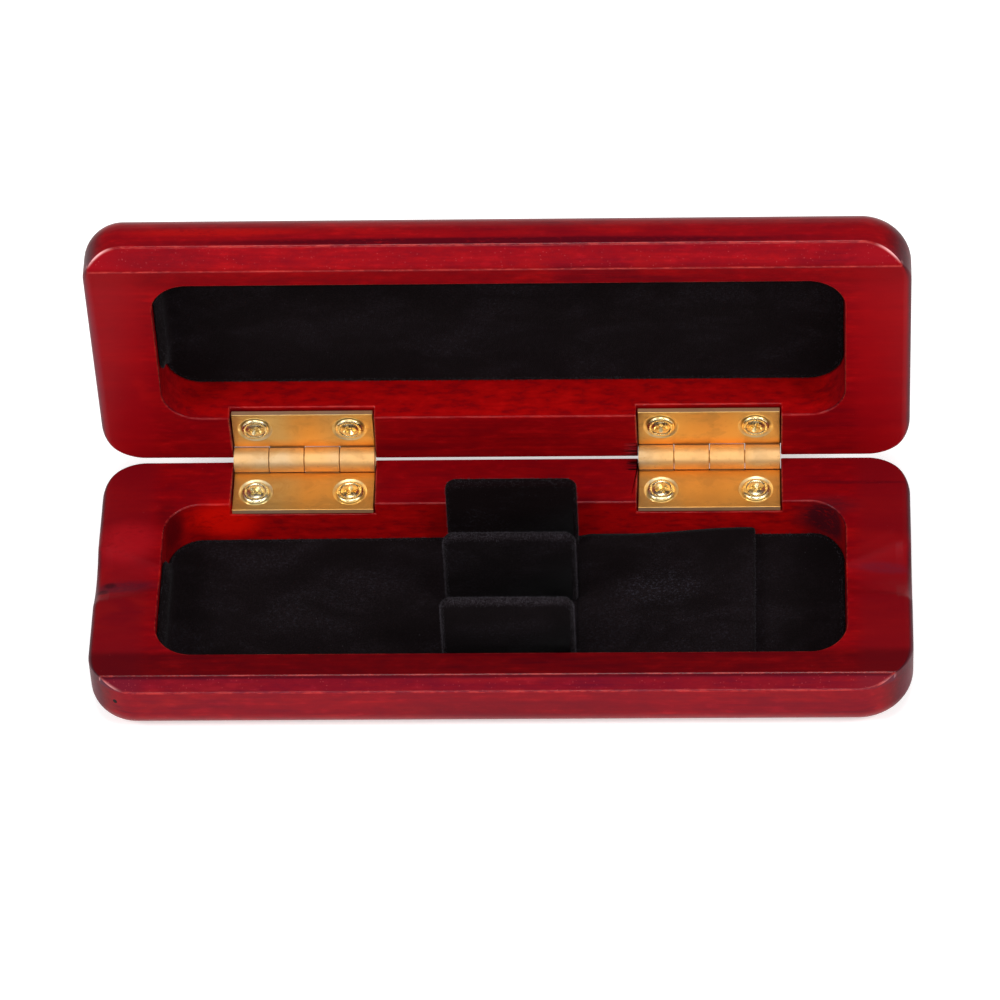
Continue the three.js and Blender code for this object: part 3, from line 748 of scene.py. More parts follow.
# %% Outlines
def pocket_middle(half):
    return BACK_Y - half["rear_rim"] - half["pocket_width"] / 2


BODY_STEPS = (CORNER_STEPS, CORNER_STEPS, FRONT_STEPS, FRONT_STEPS)
BOWS = [(0.22, -40, 28), (-0.10, 12, 28), (-0.03, -36, -8)]


def smooth(share):
    """A smooth step: 3 s**2 - 2 s**3 of a share held between 0 and 1."""
    share = np.clip(share, 0, 1)
    return share * share * (3 - 2 * share)


def bow(x):
    """How far the long rear edges, planed by hand, stand out at a place between the hinges: each
    bow's height times a smooth step from its start over its span."""
    return sum(height * smooth((x - start) / span) for height, start, span in BOWS)


def outer_outline(half, inset):
    """The outline less an inset all round. Near the back it moves out by the bow."""
    outline = rounded_rectangle(CASE_LENGTH - 2 * inset, CASE_DEPTH - 2 * inset,
                                [radius - inset for radius in half["corners"]], 0, MIDDLE_Y,
                                BODY_STEPS, END_POINTS, BACK_POINTS)
    near_back = smooth((outline[:, 1] - BACK_Y + BOW_REACH) / (BOW_REACH - 1))
    outline[:, 1] += near_back * bow(outline[:, 0] * half["turned"])
    return outline


def pocket_outline(half, spread):
    return rounded_rectangle(POCKET_LENGTH + 2 * spread, half["pocket_width"] + 2 * spread,
                             [POCKET_CORNER_RADIUS + spread] * 4, 0, pocket_middle(half),
                             BODY_STEPS, END_POINTS, BACK_POINTS)


# %% The rim as a height over the plan
def quarter_drop(inset, radius):
    """How far a quarter round falls at an inset from its edge: r - sqrt(r**2 - (r - inset)**2)."""
    left = np.clip(radius - inset, 0, radius)
    return radius - np.sqrt(radius ** 2 - left ** 2)


def soft_least(first, second):
    """The lesser of two heights, rounded by (s - |a - b|)**2 / (4 s) where they are nearer than s."""
    near = np.clip(ARRIS_SOFTNESS - np.abs(first - second), 0, None)
    return np.minimum(first, second) - near ** 2 / (4 * ARRIS_SOFTNESS)


def rim_heights(half, inset, outline):
    """The level rim and the sloping plane: two heights at the points of an outline. The slope has a
    small arris. The rim's ends are rounded over, less and less as their edge turns front or back."""
    x, y = outline.T
    right_back, left_back, left_front, right_front = half["corners"]
    corner = np.where(y > MIDDLE_Y, np.where(x > 0, right_back, left_back),
                      np.where(x > 0, right_front, left_front))
    past = (np.abs(y - MIDDLE_Y) - CASE_DEPTH / 2 + corner) / (corner - inset)
    radius = END_EASE + (ARRIS - END_EASE) * smooth(past / EASE_END)
    fall = (FRONT_Y + half["slope_width"] - y) * half["slope_drop"] / half["slope_width"]
    return RIM_Z - quarter_drop(inset, radius), RIM_Z - fall - quarter_drop(inset, ARRIS)


def rim_insets(half):
    """Insets of the rings on the rim: close together on the arrises and evenly spaced between."""
    width = half["slope_width"]
    turn = np.linspace(0, math.pi / 2, EASE_STEPS)
    arris = ARRIS_SOFTNESS * width / half["slope_drop"]
    between = np.arange(ARRIS + RING_PITCH, width - arris - RING_PITCH / 3, RING_PITCH)
    return np.concatenate([ARRIS * (1 - np.cos(turn)), between, width + arris * np.linspace(-1, 1, 7),
                           [width + 2 * arris]])


# %% The lofted body
POCKET_WEAR = 0.38
WEAR_START, WEAR_END = 0.02, 1.6 * ARRIS
SLOPE_START = 0.1


def body_rings(half):
    """Rings from the outer face over the rim to the pocket floor, and the first rings of the rim and
    of the pocket's arris. A quarter turn of radius r insets by r * (1 - sin) and lifts by
    r * (1 - cos)."""
    edge = half["edge"]
    low = np.linspace(0, math.pi / 2, EDGE_STEPS + 1)
    over = np.linspace(0, math.pi / 2, 7)
    rings = [raised(outer_outline(half, edge * (1 - math.sin(a))),
                    [OUTER_Z + edge * (1 - math.cos(a))])[0] for a in low]
    rim = []
    for inset in rim_insets(half):
        outline = outer_outline(half, inset)
        rim.append(np.column_stack([outline, soft_least(*rim_heights(half, inset, outline))]))
    rings += [rings[-1] * (1 - share) + rim[0] * share for share in SIDE_SHARES]
    rim_start = len(rings)
    rings += rim
    arris_start = len(rings)
    rings += [raised(pocket_outline(half, POCKET_EASE * (1 - math.sin(a))),
                     [RIM_Z - POCKET_EASE * (1 - math.cos(a))])[0] for a in over]
    drops = (*WALL_RINGS, half["open_depth"] + LINING_THICKNESS)
    rings += [raised(pocket_outline(half, 0.0), [RIM_Z - drop])[0] for drop in drops]
    return np.stack(rings), rim_start, arris_start


def arris_wear(half, rings, rim_start, arris_start):
    """Per point, how worn the surface is: 1 on the slope's crease and outline, less on the pocket's."""
    wear = np.zeros(rings.shape[:2])
    for index, inset in enumerate(rim_insets(half)):
        level, slope = rim_heights(half, inset, rings[rim_start + index, :, :2])
        crease = 1 - smooth(np.abs(level - slope) / ARRIS_SOFTNESS)
        outline = smooth(inset / WEAR_START) * (1 - smooth(inset / WEAR_END))
        wear[rim_start + index] = np.maximum(crease, outline * smooth((level - slope) / SLOPE_START))
    wear[arris_start + 1:arris_start + 6] = POCKET_WEAR
    return wear


def sunk(rings, half):
    """Each end rim sinks by a lying cylinder's sag, depth - (y - middle)**2 / (2 * radius), where that
    is above zero. A soft maximum rounds its shoulders, and the sinking fades out down the walls."""
    x, y, z = rings[..., 0], rings[..., 1], rings[..., 2]
    out = (np.abs(x) - POCKET_LENGTH / 2) / ((CASE_LENGTH - POCKET_LENGTH) / 2)
    depth = SCOOP_INNER_DEPTH + (SCOOP_OUTER_DEPTH - SCOOP_INNER_DEPTH) * np.clip(out, -0.1, 1)
    sag = depth - (y - MIDDLE_Y) ** 2 / (2 * SCOOP_RADIUS)
    soft = (sag + np.sqrt(sag ** 2 + SCOOP_SOFTNESS ** 2)) / 2
    soft -= SCOOP_SOFTNESS ** 2 / (4 * np.maximum(np.abs(sag), SCOOP_SOFTNESS)) * (sag < 0)
    fade = np.clip((z - RIM_Z + END_EASE + SCOOP_FADE) / SCOOP_FADE, 0, 1)
    near_end = np.abs(x) > POCKET_LENGTH / 2 - 1.5
    rings = rings.copy()
    rings[..., 2] -= soft * fade * near_end
    return rings


# %% The bodies that cut it
def mortise_cut(half, x):
    """A box from the middle of the pocket out through the back. It fits close beside the barrel and
    splays a little towards the pocket."""
    low = x + LEAF_SHIFT * half["turned"] - LEAF_LENGTH / 2 - BARREL_SIDE_GAP
    high = low + LEAF_LENGTH + 2 * BARREL_SIDE_GAP
    front, back = pocket_middle(half), BACK_Y + OVERRUN
    outline = np.array([(low - MORTISE_SPLAY, front), (high + MORTISE_SPLAY, front), (high, back),
                        (low, back)])
    return loft("mortise", raised(outline, [-MORTISE_DEPTH, RIM_Z + OVERRUN]))


def pilot_cut(x):
    heights = [-MORTISE_DEPTH - PILOT_DEPTH + OVERRUN, -MORTISE_DEPTH + OVERRUN / 2]
    rings = turned_rings([PILOT_RADIUS] * 2, heights, 16)
    return loft("pilot", rings + (x, SCREW_Y, 0))


# %% Mill both halves
PILOTS = [(x + shift, SCREW_Y) for x in HINGE_PLACES for shift in SCREW_SHIFTS]
PILOT_REACH = 1.2
MORTISE_REACH = 10
OUTWARD_CORNER = math.radians(50)


def mortise_edge(angle, middle):
    """The rule for eased edges: the mortises' outward corners, but not the holes' rims."""
    near_pilot = any(math.hypot(middle.x - x, middle.y - y) < PILOT_REACH for x, y in PILOTS)
    near_hinge = any(abs(middle.x - x) < HINGE_LENGTH / 2 + OVERRUN for x in HINGE_PLACES)
    return (angle > OUTWARD_CORNER and middle.y > BACK_Y - MORTISE_REACH
            and middle.z > -MORTISE_DEPTH - 0.01 and near_hinge and not near_pilot)


def mill(name, half, finishes):
    """A half: the lofted body, less a mortise and two pilot holes for each hinge."""
    rings, rim_start, arris_start = body_rings(half)
    wear = arris_wear(half, rings, rim_start, arris_start)
    if half["scooped"]:
        rings = sunk(rings, half)
    body = new_object(name, loft(name, rings))
    for material in finishes:
        body.data.materials.append(material)
    worn = body.data.attributes.new("worn", "FLOAT", "POINT")
    worn.data.foreach_set("value", wear.ravel())
    cutters = []
    for x in HINGE_PLACES:
        cutters.append(mortise_cut(half, x))
        cutters += [pilot_cut(x + shift) for shift in SCREW_SHIFTS]
    cut(body, cutters)
    ease(body, ARRIS, mortise_edge)
    return body


base_woods, lid_woods = woods("stained_wood_base", base), woods("stained_wood_lid", lid)
base_half = mill("base_half", base, base_woods)
lid_half = mill("lid_half", lid, lid_woods)
finish_piece(base_half, base_place, "base", base_woods, ["base_shell"])
finish_piece(lid_half, lid_place, "lid", lid_woods, ["lid_shell"])
for half in (base_half, lid_half):
    print(half.name, "faces:", len(half.data.polygons))

# %% [markdown]
# Linings
#
# Each lining is a piece of velvet on a thin board, cut to the pocket with rounded corners. The
# pile makes its edge plump rather than sharp, and the cloth isn't quite level: it creeps up the
# wall a little at a corner, and on one end, where it was cut long, its edge stands up along the
# wall. The top is therefore a set of shrinking rings with small waves and lifts added.
#
# Pile is too fine to see, but the few hairs that stand out of it break up each edge. A hair system
# would do that and would be lost in the export, so the hairs are closed spikes in a mesh of their
# own, scattered by chance where a rule says that they show.

# %% Fuzz
HAIR_RADIUS = 0.016
HAIR_ROOT = 0.05
HAIR_LEAN = 0.55
HAIR_SHARES = (0.4, 1.0)


def fuzz(name, rings, count, length, rule, place, rides, seed):
    """Hairs on the quads of a loft. The rule weighs each quad by its middle and normal. A hair is a
    spike: three points round its root and one at its tip, which leans from the normal at random."""
    corners = np.stack([rings[:-1], np.roll(rings[:-1], -1, axis=1), np.roll(rings[1:], -1, axis=1),
                        rings[1:]], axis=2).reshape(-1, 4, 3)
    normal = np.cross(corners[:, 2] - corners[:, 0], corners[:, 3] - corners[:, 1])
    area = np.linalg.norm(normal, axis=1) + 1e-9
    normal /= area[:, None]
    weight = area * rule(corners.mean(axis=1), normal)
    rng = np.random.default_rng(seed)
    picked = rng.choice(len(weight), count, p=weight / weight.sum())
    s, t = rng.random((2, count, 1))
    a, b, c, d = corners[picked].transpose(1, 0, 2)
    root = (a * (1 - s) + b * s) * (1 - t) + (d * (1 - s) + c * s) * t
    lean = normal[picked] + rng.normal(0, HAIR_LEAN, (count, 3))
    lean /= np.linalg.norm(lean, axis=1)[:, None]
    side = np.cross(lean, rng.normal(0, 1, (count, 3)))
    side /= np.linalg.norm(side, axis=1)[:, None]
    other = np.cross(lean, side)
    foot = root - lean * HAIR_ROOT
    turns = np.arange(3) * 2 * math.pi / 3
    feet = [foot + HAIR_RADIUS * (side * math.cos(turn) + other * math.sin(turn)) for turn in turns]
    tip = root + lean * length * rng.uniform(*HAIR_SHARES, (count, 1))
    points = np.stack(feet + [tip], axis=1).reshape(-1, 3)
    starts = np.arange(count)[:, None, None] * 4
    spikes = np.array([[0, 2, 1], [0, 1, 3], [1, 2, 3], [2, 0, 3]])
    mesh = bpy.data.meshes.new(name)
    mesh.from_pydata(points.tolist(), [], (starts + spikes).reshape(-1, 3).tolist())
    return finish_piece(new_object(name, mesh), place, rides, [fuzz_sheen_grey], [])


# %% The two velvet linings
VELVET_THICKNESS = 0.5
LINING_GAP = 0.12
EDGE_PLUMP = 0.3
BARE_WALL = 0.9
STAND_FROM_Y = -11.6
STAND_SPAN = 6.0
STAND_FROM_END, STAND_RISE = 4.5, 3.5
STAND_WIDTH, STAND_EASE = 0.85, 0.4
WAVE_HEIGHT = 0.09
CORNER_CREEP = {"x": 41.5, "y": -8.4, "lift": 0.8, "spread": 3.2}
LINING_HAIRS, LINING_HAIR_LENGTH = 3600, 0.34


def waves(x, y, size, seed):
    """A sum of three slow sine waves, between plus and minus the size."""
    return size / 3 * (np.sin(0.21 * x + 0.9 * seed) + np.sin(0.13 * x - 0.31 * y + 2.1 * seed)
                       + np.sin(0.47 * y + 0.33 * x + 1.3 * seed))


def lining(half, seed, long_side, creep=None):
    """Rings that climb a plump edge, then shrink over the top to the middle line. The cloth was cut
    a little long, so that on one end its edge stands up along the wall. It can also creep up at a
    place, by lift * exp(-(distance / spread)**2)."""
    low_z = RIM_Z - half["open_depth"] - VELVET_THICKNESS
    width = half["pocket_width"] - 2 * LINING_GAP
    length = POCKET_LENGTH - 2 * LINING_GAP
    radius = POCKET_CORNER_RADIUS - LINING_GAP
    turn = np.linspace(0, math.pi / 2, 7)
    over = np.linspace(EDGE_PLUMP, width / 2 - 0.05, 30)[1:]
    insets = np.concatenate([[0], EDGE_PLUMP * (1 - np.cos(turn)), over])
    top_z = low_z + VELVET_THICKNESS
    heights = np.concatenate([[low_z], top_z - EDGE_PLUMP * (1 - np.sin(turn)),
                              np.full(len(over), top_z)])
    rings = np.stack([raised(rounded_rectangle(length - 2 * i, width - 2 * i,
                                               [max(radius - i, 0.02)] * 4, 0, pocket_middle(half),
                                               end_points=24), [z])[0]
                      for i, z in zip(insets, heights)])
    x, y = rings[1:, :, 0], rings[1:, :, 1]
    rings[1:, :, 2] += waves(x, y, WAVE_HEIGHT, seed)
    to_end = POCKET_LENGTH / 2 - rings[0, :, 0] * long_side
    along = smooth((STAND_FROM_END - to_end) / STAND_RISE)
    along *= smooth((STAND_FROM_Y - rings[0, :, 1]) / STAND_SPAN)
    stand = half["open_depth"] - BARE_WALL
    rings[1:, :, 2] += stand * along * smooth((STAND_WIDTH - insets[1:, None]) / STAND_EASE)
    if creep:
        away = ((x - creep["x"]) ** 2 + (y - creep["y"]) ** 2) / creep["spread"] ** 2
        rings[1:, :, 2] += creep["lift"] * np.exp(-away)
    upright = stand * (along * np.linalg.norm(rings[0] - np.roll(rings[0], 1, axis=0), axis=1)).sum()
    area = width * length - (4 - math.pi) * radius ** 2 + upright
    return rings, (width * MM, (length + stand) * MM), area * MM ** 2


def lay(name, made, place, rides, replaced, seed):
    """Lofts a lining, finishes it in velvet with hairs along its edge and prints its flat size. The
    area that comes with it, the pocket's rectangle less what the corners lose and the part that
    stands up, is not used here.
    """
    rings, flat, area = made
    piece = new_object(name, loft(name, rings))
    finish_piece(piece, place, rides, [black_velvet], [replaced])
    edge = fuzz(name + "_fuzz", rings[4:9], LINING_HAIRS, LINING_HAIR_LENGTH,
                lambda middle, normal: 0.04 + np.abs(normal[:, 2]), place, rides, seed)
    print(name, "flat mm:", np.round(np.array(flat) / MM, 2))


lay("base_velvet", lining(base, 1.0, -1, CORNER_CREEP), base_place, "base", "base_lining_velvet",
    11)
lay("lid_velvet", lining(lid, 2.0, 1), lid_place, "lid", "lid_lining_velvet", 12)

# %% [markdown]
# Tabs and rest
#
# A tab is a stiff card in a folded velvet sleeve, stood in a slot. The pile rounds its edges over,
# so the sleeve is a front view carried from the back to the front and inset along a half circle.
# The rest is a strip of velvet over a wedge, turned down at its free end.

# %% Tab sleeves
TAB_THICKNESS = 1.4
TAB_CORNER = 1.5
SHARP_CORNER = 0.05
TAB_ROUNDING = 0.55
TAB_HAIR_LENGTH, TAB_HAIR_REACH = 0.30, 0.45
SLEEVE_THICKNESS = 0.28
SLEEVE_ROUNDING = 0.1
TABS = {"rear": (-8.45, 1200), "middle": (-17.8, 3000), "front": (-28.9, 4200)}
TAB_FOOT_Z = RIM_Z - base["open_depth"] + 0.08


def tab_rings(margin, foot, round_by, steps, rise=0.0, shift=0.0):
    """Front-view outlines from the back face to the front face. Along a half circle of the
    rounding radius, each is inset by radius - radius * sin and lies radius * cos from the middle."""
    width = TAB_WIDTH - 2 * margin
    top = RIM_Z + TAB_RISE + rise - margin
    half_thick = TAB_THICKNESS / 2 - margin
    turn = np.linspace(0, math.pi, steps)
    insets = round_by * (1 - np.sin(turn))
    depths = (half_thick - round_by) * np.sign(np.round(np.cos(turn), 6)) + round_by * np.cos(turn)
    rings = []
    for inset, depth in zip(insets, depths):
        corner = max(TAB_CORNER - margin - inset, SHARP_CORNER)
        corners = [corner, corner, SHARP_CORNER, SHARP_CORNER]
        view = rounded_rectangle(width - 2 * inset, top - foot - inset, corners,
                                 TAB_OFFSET + shift, (top + foot - inset) / 2, (12, 12, 3, 3))
        rings.append(np.column_stack([view[:, 0], np.full(len(view), depth), view[:, 1]]))
    return np.stack(rings)


def tab_edge(middle, normal):
    """Where a tab's fuzz grows: thickest along its top and sides, by exp(-distance / reach)."""
    outer = np.minimum(TAB_WIDTH / 2 - np.abs(middle[:, 0] - TAB_OFFSET - PILE_SHIFT),
                       TAB_TOP_Z - middle[:, 2])
    near_outline = np.exp(-np.clip(outer, 0, None) / TAB_HAIR_REACH)
    return (near_outline + 0.03) * (middle[:, 2] > TAB_FOOT_Z + 0.2)


def tab(place_name, back_y, count, seed):
    """A hollow sleeve over its card, with a number of hairs round its edge."""
    skin = tab_rings(0.0, TAB_FOOT_Z, TAB_ROUNDING, 17, PILE_RISE, PILE_SHIFT)
    sleeve = new_object(f"tab_{place_name}_sleeve", loft("sleeve", skin))
    inside = tab_rings(SLEEVE_THICKNESS, TAB_FOOT_Z - OVERRUN, SLEEVE_ROUNDING, 5)
    cut(sleeve, [loft("hollow", inside)])
    middle = back_y - TAB_THICKNESS / 2

    def stand(points):
        return base_place(points + (0, middle, 0))

    finish_piece(sleeve, stand, "base", [tab_velvets[place_name]],
                 [f"tab_{place_name}_velvet"])
    edge = fuzz(f"tab_{place_name}_fuzz", skin, count, TAB_HAIR_LENGTH, tab_edge, stand, "base", seed)
    tall = TAB_TOP_Z - TAB_FOOT_Z
    (2 * tall + TAB_THICKNESS) * MM


for seed, (place_name, (back_y, count)) in enumerate(TABS.items(), 21):
    tab(place_name, back_y, count, seed)
print("tabs rise above the rim by, mm:", TAB_RISE + PILE_RISE)

# %% Reed rest
REST_START_X = TAB_OFFSET + TAB_WIDTH / 2 - 0.1
REST_FOOT_X = REST_START_X + 7.0
REST_END_X = POCKET_LENGTH / 2 - 11.8
REST_RISE = 1.1
REST_THICKNESS = 0.4
REST_TAPER = 1.6
REST_LEVEL = TAB_FOOT_Z + 0.08
REST_LEVEL_END = 2.1
REST_BEND_END = 0.6
REST_BEND = 0.2
REST_HAIRS, REST_HAIR_LENGTH = 700, 0.26


def rest():
    """A strip whose line along X is level, rises as a smooth step, rounds the end and drops. Its
    thickness is laid off along the line's normal, and the section is carried along Y."""
    top_x = REST_END_X - REST_LEVEL_END
    x = np.linspace(REST_START_X, REST_END_X - REST_BEND_END, 60)
    z = REST_LEVEL + REST_RISE * smooth((x - REST_FOOT_X) / (top_x - REST_FOOT_X))
    turn = np.linspace(math.pi / 2, 0, 9)[1:]
    x = np.concatenate([x, x[-1] + REST_BEND * np.cos(turn), [x[-1] + REST_BEND]])
    z = np.concatenate([z, z[-1] - REST_BEND * (1 - np.sin(turn)), [TAB_FOOT_Z]])
    line = np.column_stack([x, z])
    ahead = np.gradient(line, axis=0)
    normal = np.column_stack([-ahead[:, 1], ahead[:, 0]])
    normal /= np.linalg.norm(normal, axis=1)[:, None]
    thickness = REST_THICKNESS * (0.1 + 0.9 * smooth((x - x[0]) / REST_TAPER))
    outer = line + normal * thickness[:, None]
    outer[-1, 1] = TAB_FOOT_Z
    section = np.vstack([line, outer[::-1]])
    depth = base["pocket_width"] - 2 * LINING_GAP
    backs = pocket_middle(base) + depth * np.linspace(0.5, -0.5, 41)
    rings = np.stack([np.column_stack([section[:, 0], np.full(len(section), y), section[:, 1]])
                      for y in backs])
    lifted = np.clip((rings[..., 0] - REST_FOOT_X) / (REST_END_X - REST_FOOT_X), 0, 1)
    rings[..., 2] += lifted * waves(rings[..., 0], rings[..., 1] * 1.5, 0.1, 0.4)
    length = np.linalg.norm(np.diff(line, axis=0), axis=1).sum()
    return rings, (depth * MM, length * MM)


rest_rings, rest_flat = rest()
rest_cover = new_object("reed_rest_cover", loft("rest", rest_rings))
finish_piece(rest_cover, base_place, "base", [black_velvet], ["reed_rest_velvet"])
rest_edge = fuzz("reed_rest_fuzz", rest_rings, REST_HAIRS, REST_HAIR_LENGTH, lambda middle, normal:
                 (middle[:, 0] > REST_END_X - 0.45) & (normal[:, 0] > -0.2), base_place, "base", 31)
print("reed rest cover, flat mm:", np.round(np.array(rest_flat) / MM, 1))

# %% [markdown]
# Hinges
#
# A butt hinge of this size is one strip of brass per leaf, rolled into knuckles about a pin. The
# roll runs in under the pin, round behind and over it, and stops just above the leaf at an open
# seam. Each leaf carries two of the four knuckles and is notched for the other two. It is made the
# same way here: a plate and two rolled sections, joined by a Boolean, with the holes cut after.
#
# The screws sit in countersunk holes and stand a little proud. A turned head has a round rim, a
# shallow groove and a low dome, so it is a profile of shares of its radius and height, turned about
# its axis, with a cross recess cut into it.

# %% Leaves
LEAF_WIDTHS = {"base": 8.05, "lid": 7.75}
LEAF_THICKNESS = 0.75
BARREL_RADIUS = 1.7
KNUCKLE_COUNT = 4
KNUCKLE_GAP = 0.08
NOTCH_GAP = 0.06
SEAM_ANGLE = math.radians(207)
LEAF_TOP_Z = LEAF_THICKNESS - BARREL_RADIUS
PLATE_END_Y = -math.sqrt((BARREL_RADIUS + NOTCH_GAP) ** 2 - LEAF_TOP_Z ** 2)
HEAD_RADIUS = 1.85
HOLE_GAP = 0.06
SHANK_RADIUS = 0.75
COUNTERSINK_RADIUS = 2.3
COUNTERSINK_DEPTH = 0.68
CONE_SLOPE = COUNTERSINK_DEPTH / (COUNTERSINK_RADIUS - SHANK_RADIUS - HOLE_GAP)
SCREW_SEAT = CONE_SLOPE * (COUNTERSINK_RADIUS - HEAD_RADIUS) - HOLE_GAP
LEAF_EASE = 0.1
LEAF_CORNER = math.radians(20)
CUT_EDGE, BARREL, CONE = 2, 3, 4


def knuckle(start, end):
    """The rolled section: outer arc from straight down to the seam, then the bore's arc back."""
    turn = np.linspace(-math.pi / 2, SEAM_ANGLE, 61)
    arc = np.column_stack([np.cos(turn), np.sin(turn)])
    bore = BARREL_RADIUS - LEAF_THICKNESS
    root = PLATE_END_Y - LEAF_THICKNESS
    section = np.vstack([[root, -BARREL_RADIUS], arc * BARREL_RADIUS, arc[::-1] * bore, [root, -bore]])
    return loft("knuckle", along_x(section, [start, end]))


def leaf(name, x, turned, width):
    """A notched plate with its two knuckles joined on and its screw holes countersunk."""
    start = x + LEAF_SHIFT * turned - LEAF_LENGTH / 2
    pitch = LEAF_LENGTH / KNUCKLE_COUNT
    plate = [(-width, -BARREL_RADIUS), (PLATE_END_Y, -BARREL_RADIUS),
             (PLATE_END_Y, LEAF_TOP_Z), (-width, LEAF_TOP_Z)]
    body = new_object(name, loft(name, along_x(plate, [start, start + LEAF_LENGTH])))
    for index in range(0, KNUCKLE_COUNT, 2):
        left = start + index * pitch + (KNUCKLE_GAP / 2 if index else 0)
        right = start + (index + 1) * pitch - KNUCKLE_GAP / 2
        roll = new_object("cutter_roll", knuckle(left, right))
        join = body.modifiers.new("roll", "BOOLEAN")
        join.operation = "UNION"
        join.solver = "EXACT"
        join.object = roll
        settle(body)
        bpy.data.objects.remove(roll)
    hole = SHANK_RADIUS + HOLE_GAP
    holes = [loft("hole", turned_rings([hole, hole, COUNTERSINK_RADIUS, COUNTERSINK_RADIUS],
                                       [-LEAF_THICKNESS - OVERRUN, -COUNTERSINK_DEPTH, 0, OVERRUN])
                  + (x + shift, SCREW_Y, LEAF_TOP_Z)) for shift in SCREW_SHIFTS]
    cut(body, holes)
    ease(body, LEAF_EASE, lambda angle, middle: angle > LEAF_CORNER)
    for face in body.data.polygons:
        from_screw = min(math.hypot(face.center.x - x - shift, face.center.y - SCREW_Y)
                         for shift in SCREW_SHIFTS)
        if face.center.y < -width + 0.01:
            face.material_index = CUT_EDGE
        elif face.center.y > PLATE_END_Y or face.center.z > LEAF_TOP_Z + 0.05:
            face.material_index = BARREL
        elif from_screw < COUNTERSINK_RADIUS - 0.02 and face.center.z < LEAF_TOP_Z - 0.02:
            face.material_index = CONE
    return body


# %% Screws and pins
SCREW_LENGTH = 5.2
SCREW_POINT = 1.1
DOME = 0.45
HEAD_SHARES = [(1, 0), (0.99, 0.28), (0.955, 0.56), (0.89, 0.74), (0.80, 0.82), (0.74, 0.78),
               (0.69, 0.66), (0.63, 0.64), (0.57, 0.74), (0.46, 0.88), (0.28, 0.97), (0, 1)]
HEAD_EASE = 0.07
PIN_GAP = 0.1
PIN_EASE = 0.25
HEAD_CORNER = math.radians(25)
RECESS = {"reach": 0.95, "side": 0.25, "depth": 0.6, "floor_share": 0.45, "mouth_share": 1.12}


def recess_cut():
    """Rings of a cross: wide at the top and tapered towards its floor."""
    reach, side = RECESS["reach"], RECESS["side"]
    quarter = np.array([[reach, -side], [reach, side], [side, side]])
    turns = [np.array([[0, 1], [-1, 0]]), np.array([[-1, 0], [0, -1]]), np.array([[0, -1], [1, 0]])]
    cross = np.vstack([quarter] + [quarter @ turn for turn in turns])
    low, high = DOME - RECESS["depth"], DOME + 0.2
    rings = [np.column_stack([cross * share, np.full(len(cross), z)])
             for share, z in ((RECESS["floor_share"], low), (RECESS["mouth_share"], high))]
    return loft("recess", np.stack(rings))


def screw(name, x, spin):
    """A point, a shank, a cone and a head with a round rim, a shallow groove and a low dome."""
    across, up = np.array(HEAD_SHARES).T
    radii = np.concatenate([[0.05, SHANK_RADIUS, SHANK_RADIUS], HEAD_RADIUS * across])
    cone = CONE_SLOPE * (HEAD_RADIUS - SHANK_RADIUS)
    heights = np.concatenate([[-SCREW_LENGTH, -SCREW_LENGTH + SCREW_POINT, -cone], DOME * up])
    body = new_object(name, loft(name, turned_rings(radii, heights)))
    cut(body, [recess_cut()])
    ease(body, HEAD_EASE, lambda angle, middle: abs(angle) > HEAD_CORNER
         and math.hypot(middle.x, middle.y) > RECESS["reach"] + 0.2, 2)
    c, s = math.cos(spin), math.sin(spin)
    turned = points_of(body.data) @ np.array([[c, s, 0], [-s, c, 0], [0, 0, 1]])
    body.data.vertices.foreach_set("co", (turned + (x, SCREW_Y, LEAF_TOP_Z - SCREW_SEAT)).ravel())
    return body


def pin(name, x):
    """A short rod along X with small rounded ends."""
    radius = BARREL_RADIUS - LEAF_THICKNESS - PIN_GAP
    turn = np.linspace(0, math.pi / 2, 6)
    near, far = PIN_EASE * (1 - np.cos(turn)), PIN_EASE * (1 - np.sin(turn))
    radii = np.concatenate([radius - far, radius - near])
    heights = np.concatenate([near, LEAF_LENGTH - far])
    rings = turned_rings(radii, heights - LEAF_LENGTH / 2 + LEAF_SHIFT)
    rings = np.stack([rings[..., 2] + x, rings[..., 0], rings[..., 1]], axis=-1)
    return new_object(name, loft(name, rings))


# %% Hinges in both halves
spins = np.random.default_rng(7).uniform(0, math.pi / 2, 8).reshape(2, 2, 2)
placings = (("base", base_place, 1), ("lid", lid_place, -1))
for side, side_name in enumerate(("left", "right")):
    for which, (half_name, place, turned) in enumerate(placings):
        x = HINGE_PLACES[side] * turned
        node = f"hinge_{side_name}_{half_name}"
        plate = leaf(f"{side_name}_{half_name}_leaf", x, turned, LEAF_WIDTHS[half_name])
        flat = hinge_brass if half_name == "base" else lid_brass_lit
        finish_piece(plate, place, half_name,
                     [flat, flat, cut_brass, barrel_brass, sunk_brass], [f"{node}_leaf"])
        for end, end_name in enumerate(("left", "right")):
            made = screw(f"{side_name}_{half_name}_screw_{end_name}",
                         x + SCREW_SHIFTS[end] * turned, spins[side, which, end])
            finish_piece(made, place, half_name, [screw_brass, screw_brass],
                         [f"{node}_screw_{end_name}"])
    finish_piece(pin(f"{side_name}_pin", HINGE_PLACES[side]), base_place, "base",
                 [hinge_brass], [f"hinge_{side_name}_pin"])
print("hinge leaf, mm:", LEAF_LENGTH, "long, plates", LEAF_WIDTHS)

# %% [markdown]
# Boards
#
# The boards, the cards and the wedge have the right shape already. They stay as they are and get
# the paper board's finish.

# %% Boards keep their shape
kept = [node for node in frame["nodes"] if node.endswith(("_board", "_card", "_wedge"))]
for node in kept:
    materials = frame["nodes"][node].data.materials
    materials.clear()
    materials.append(board_card)
print("kept as they are:", kept)

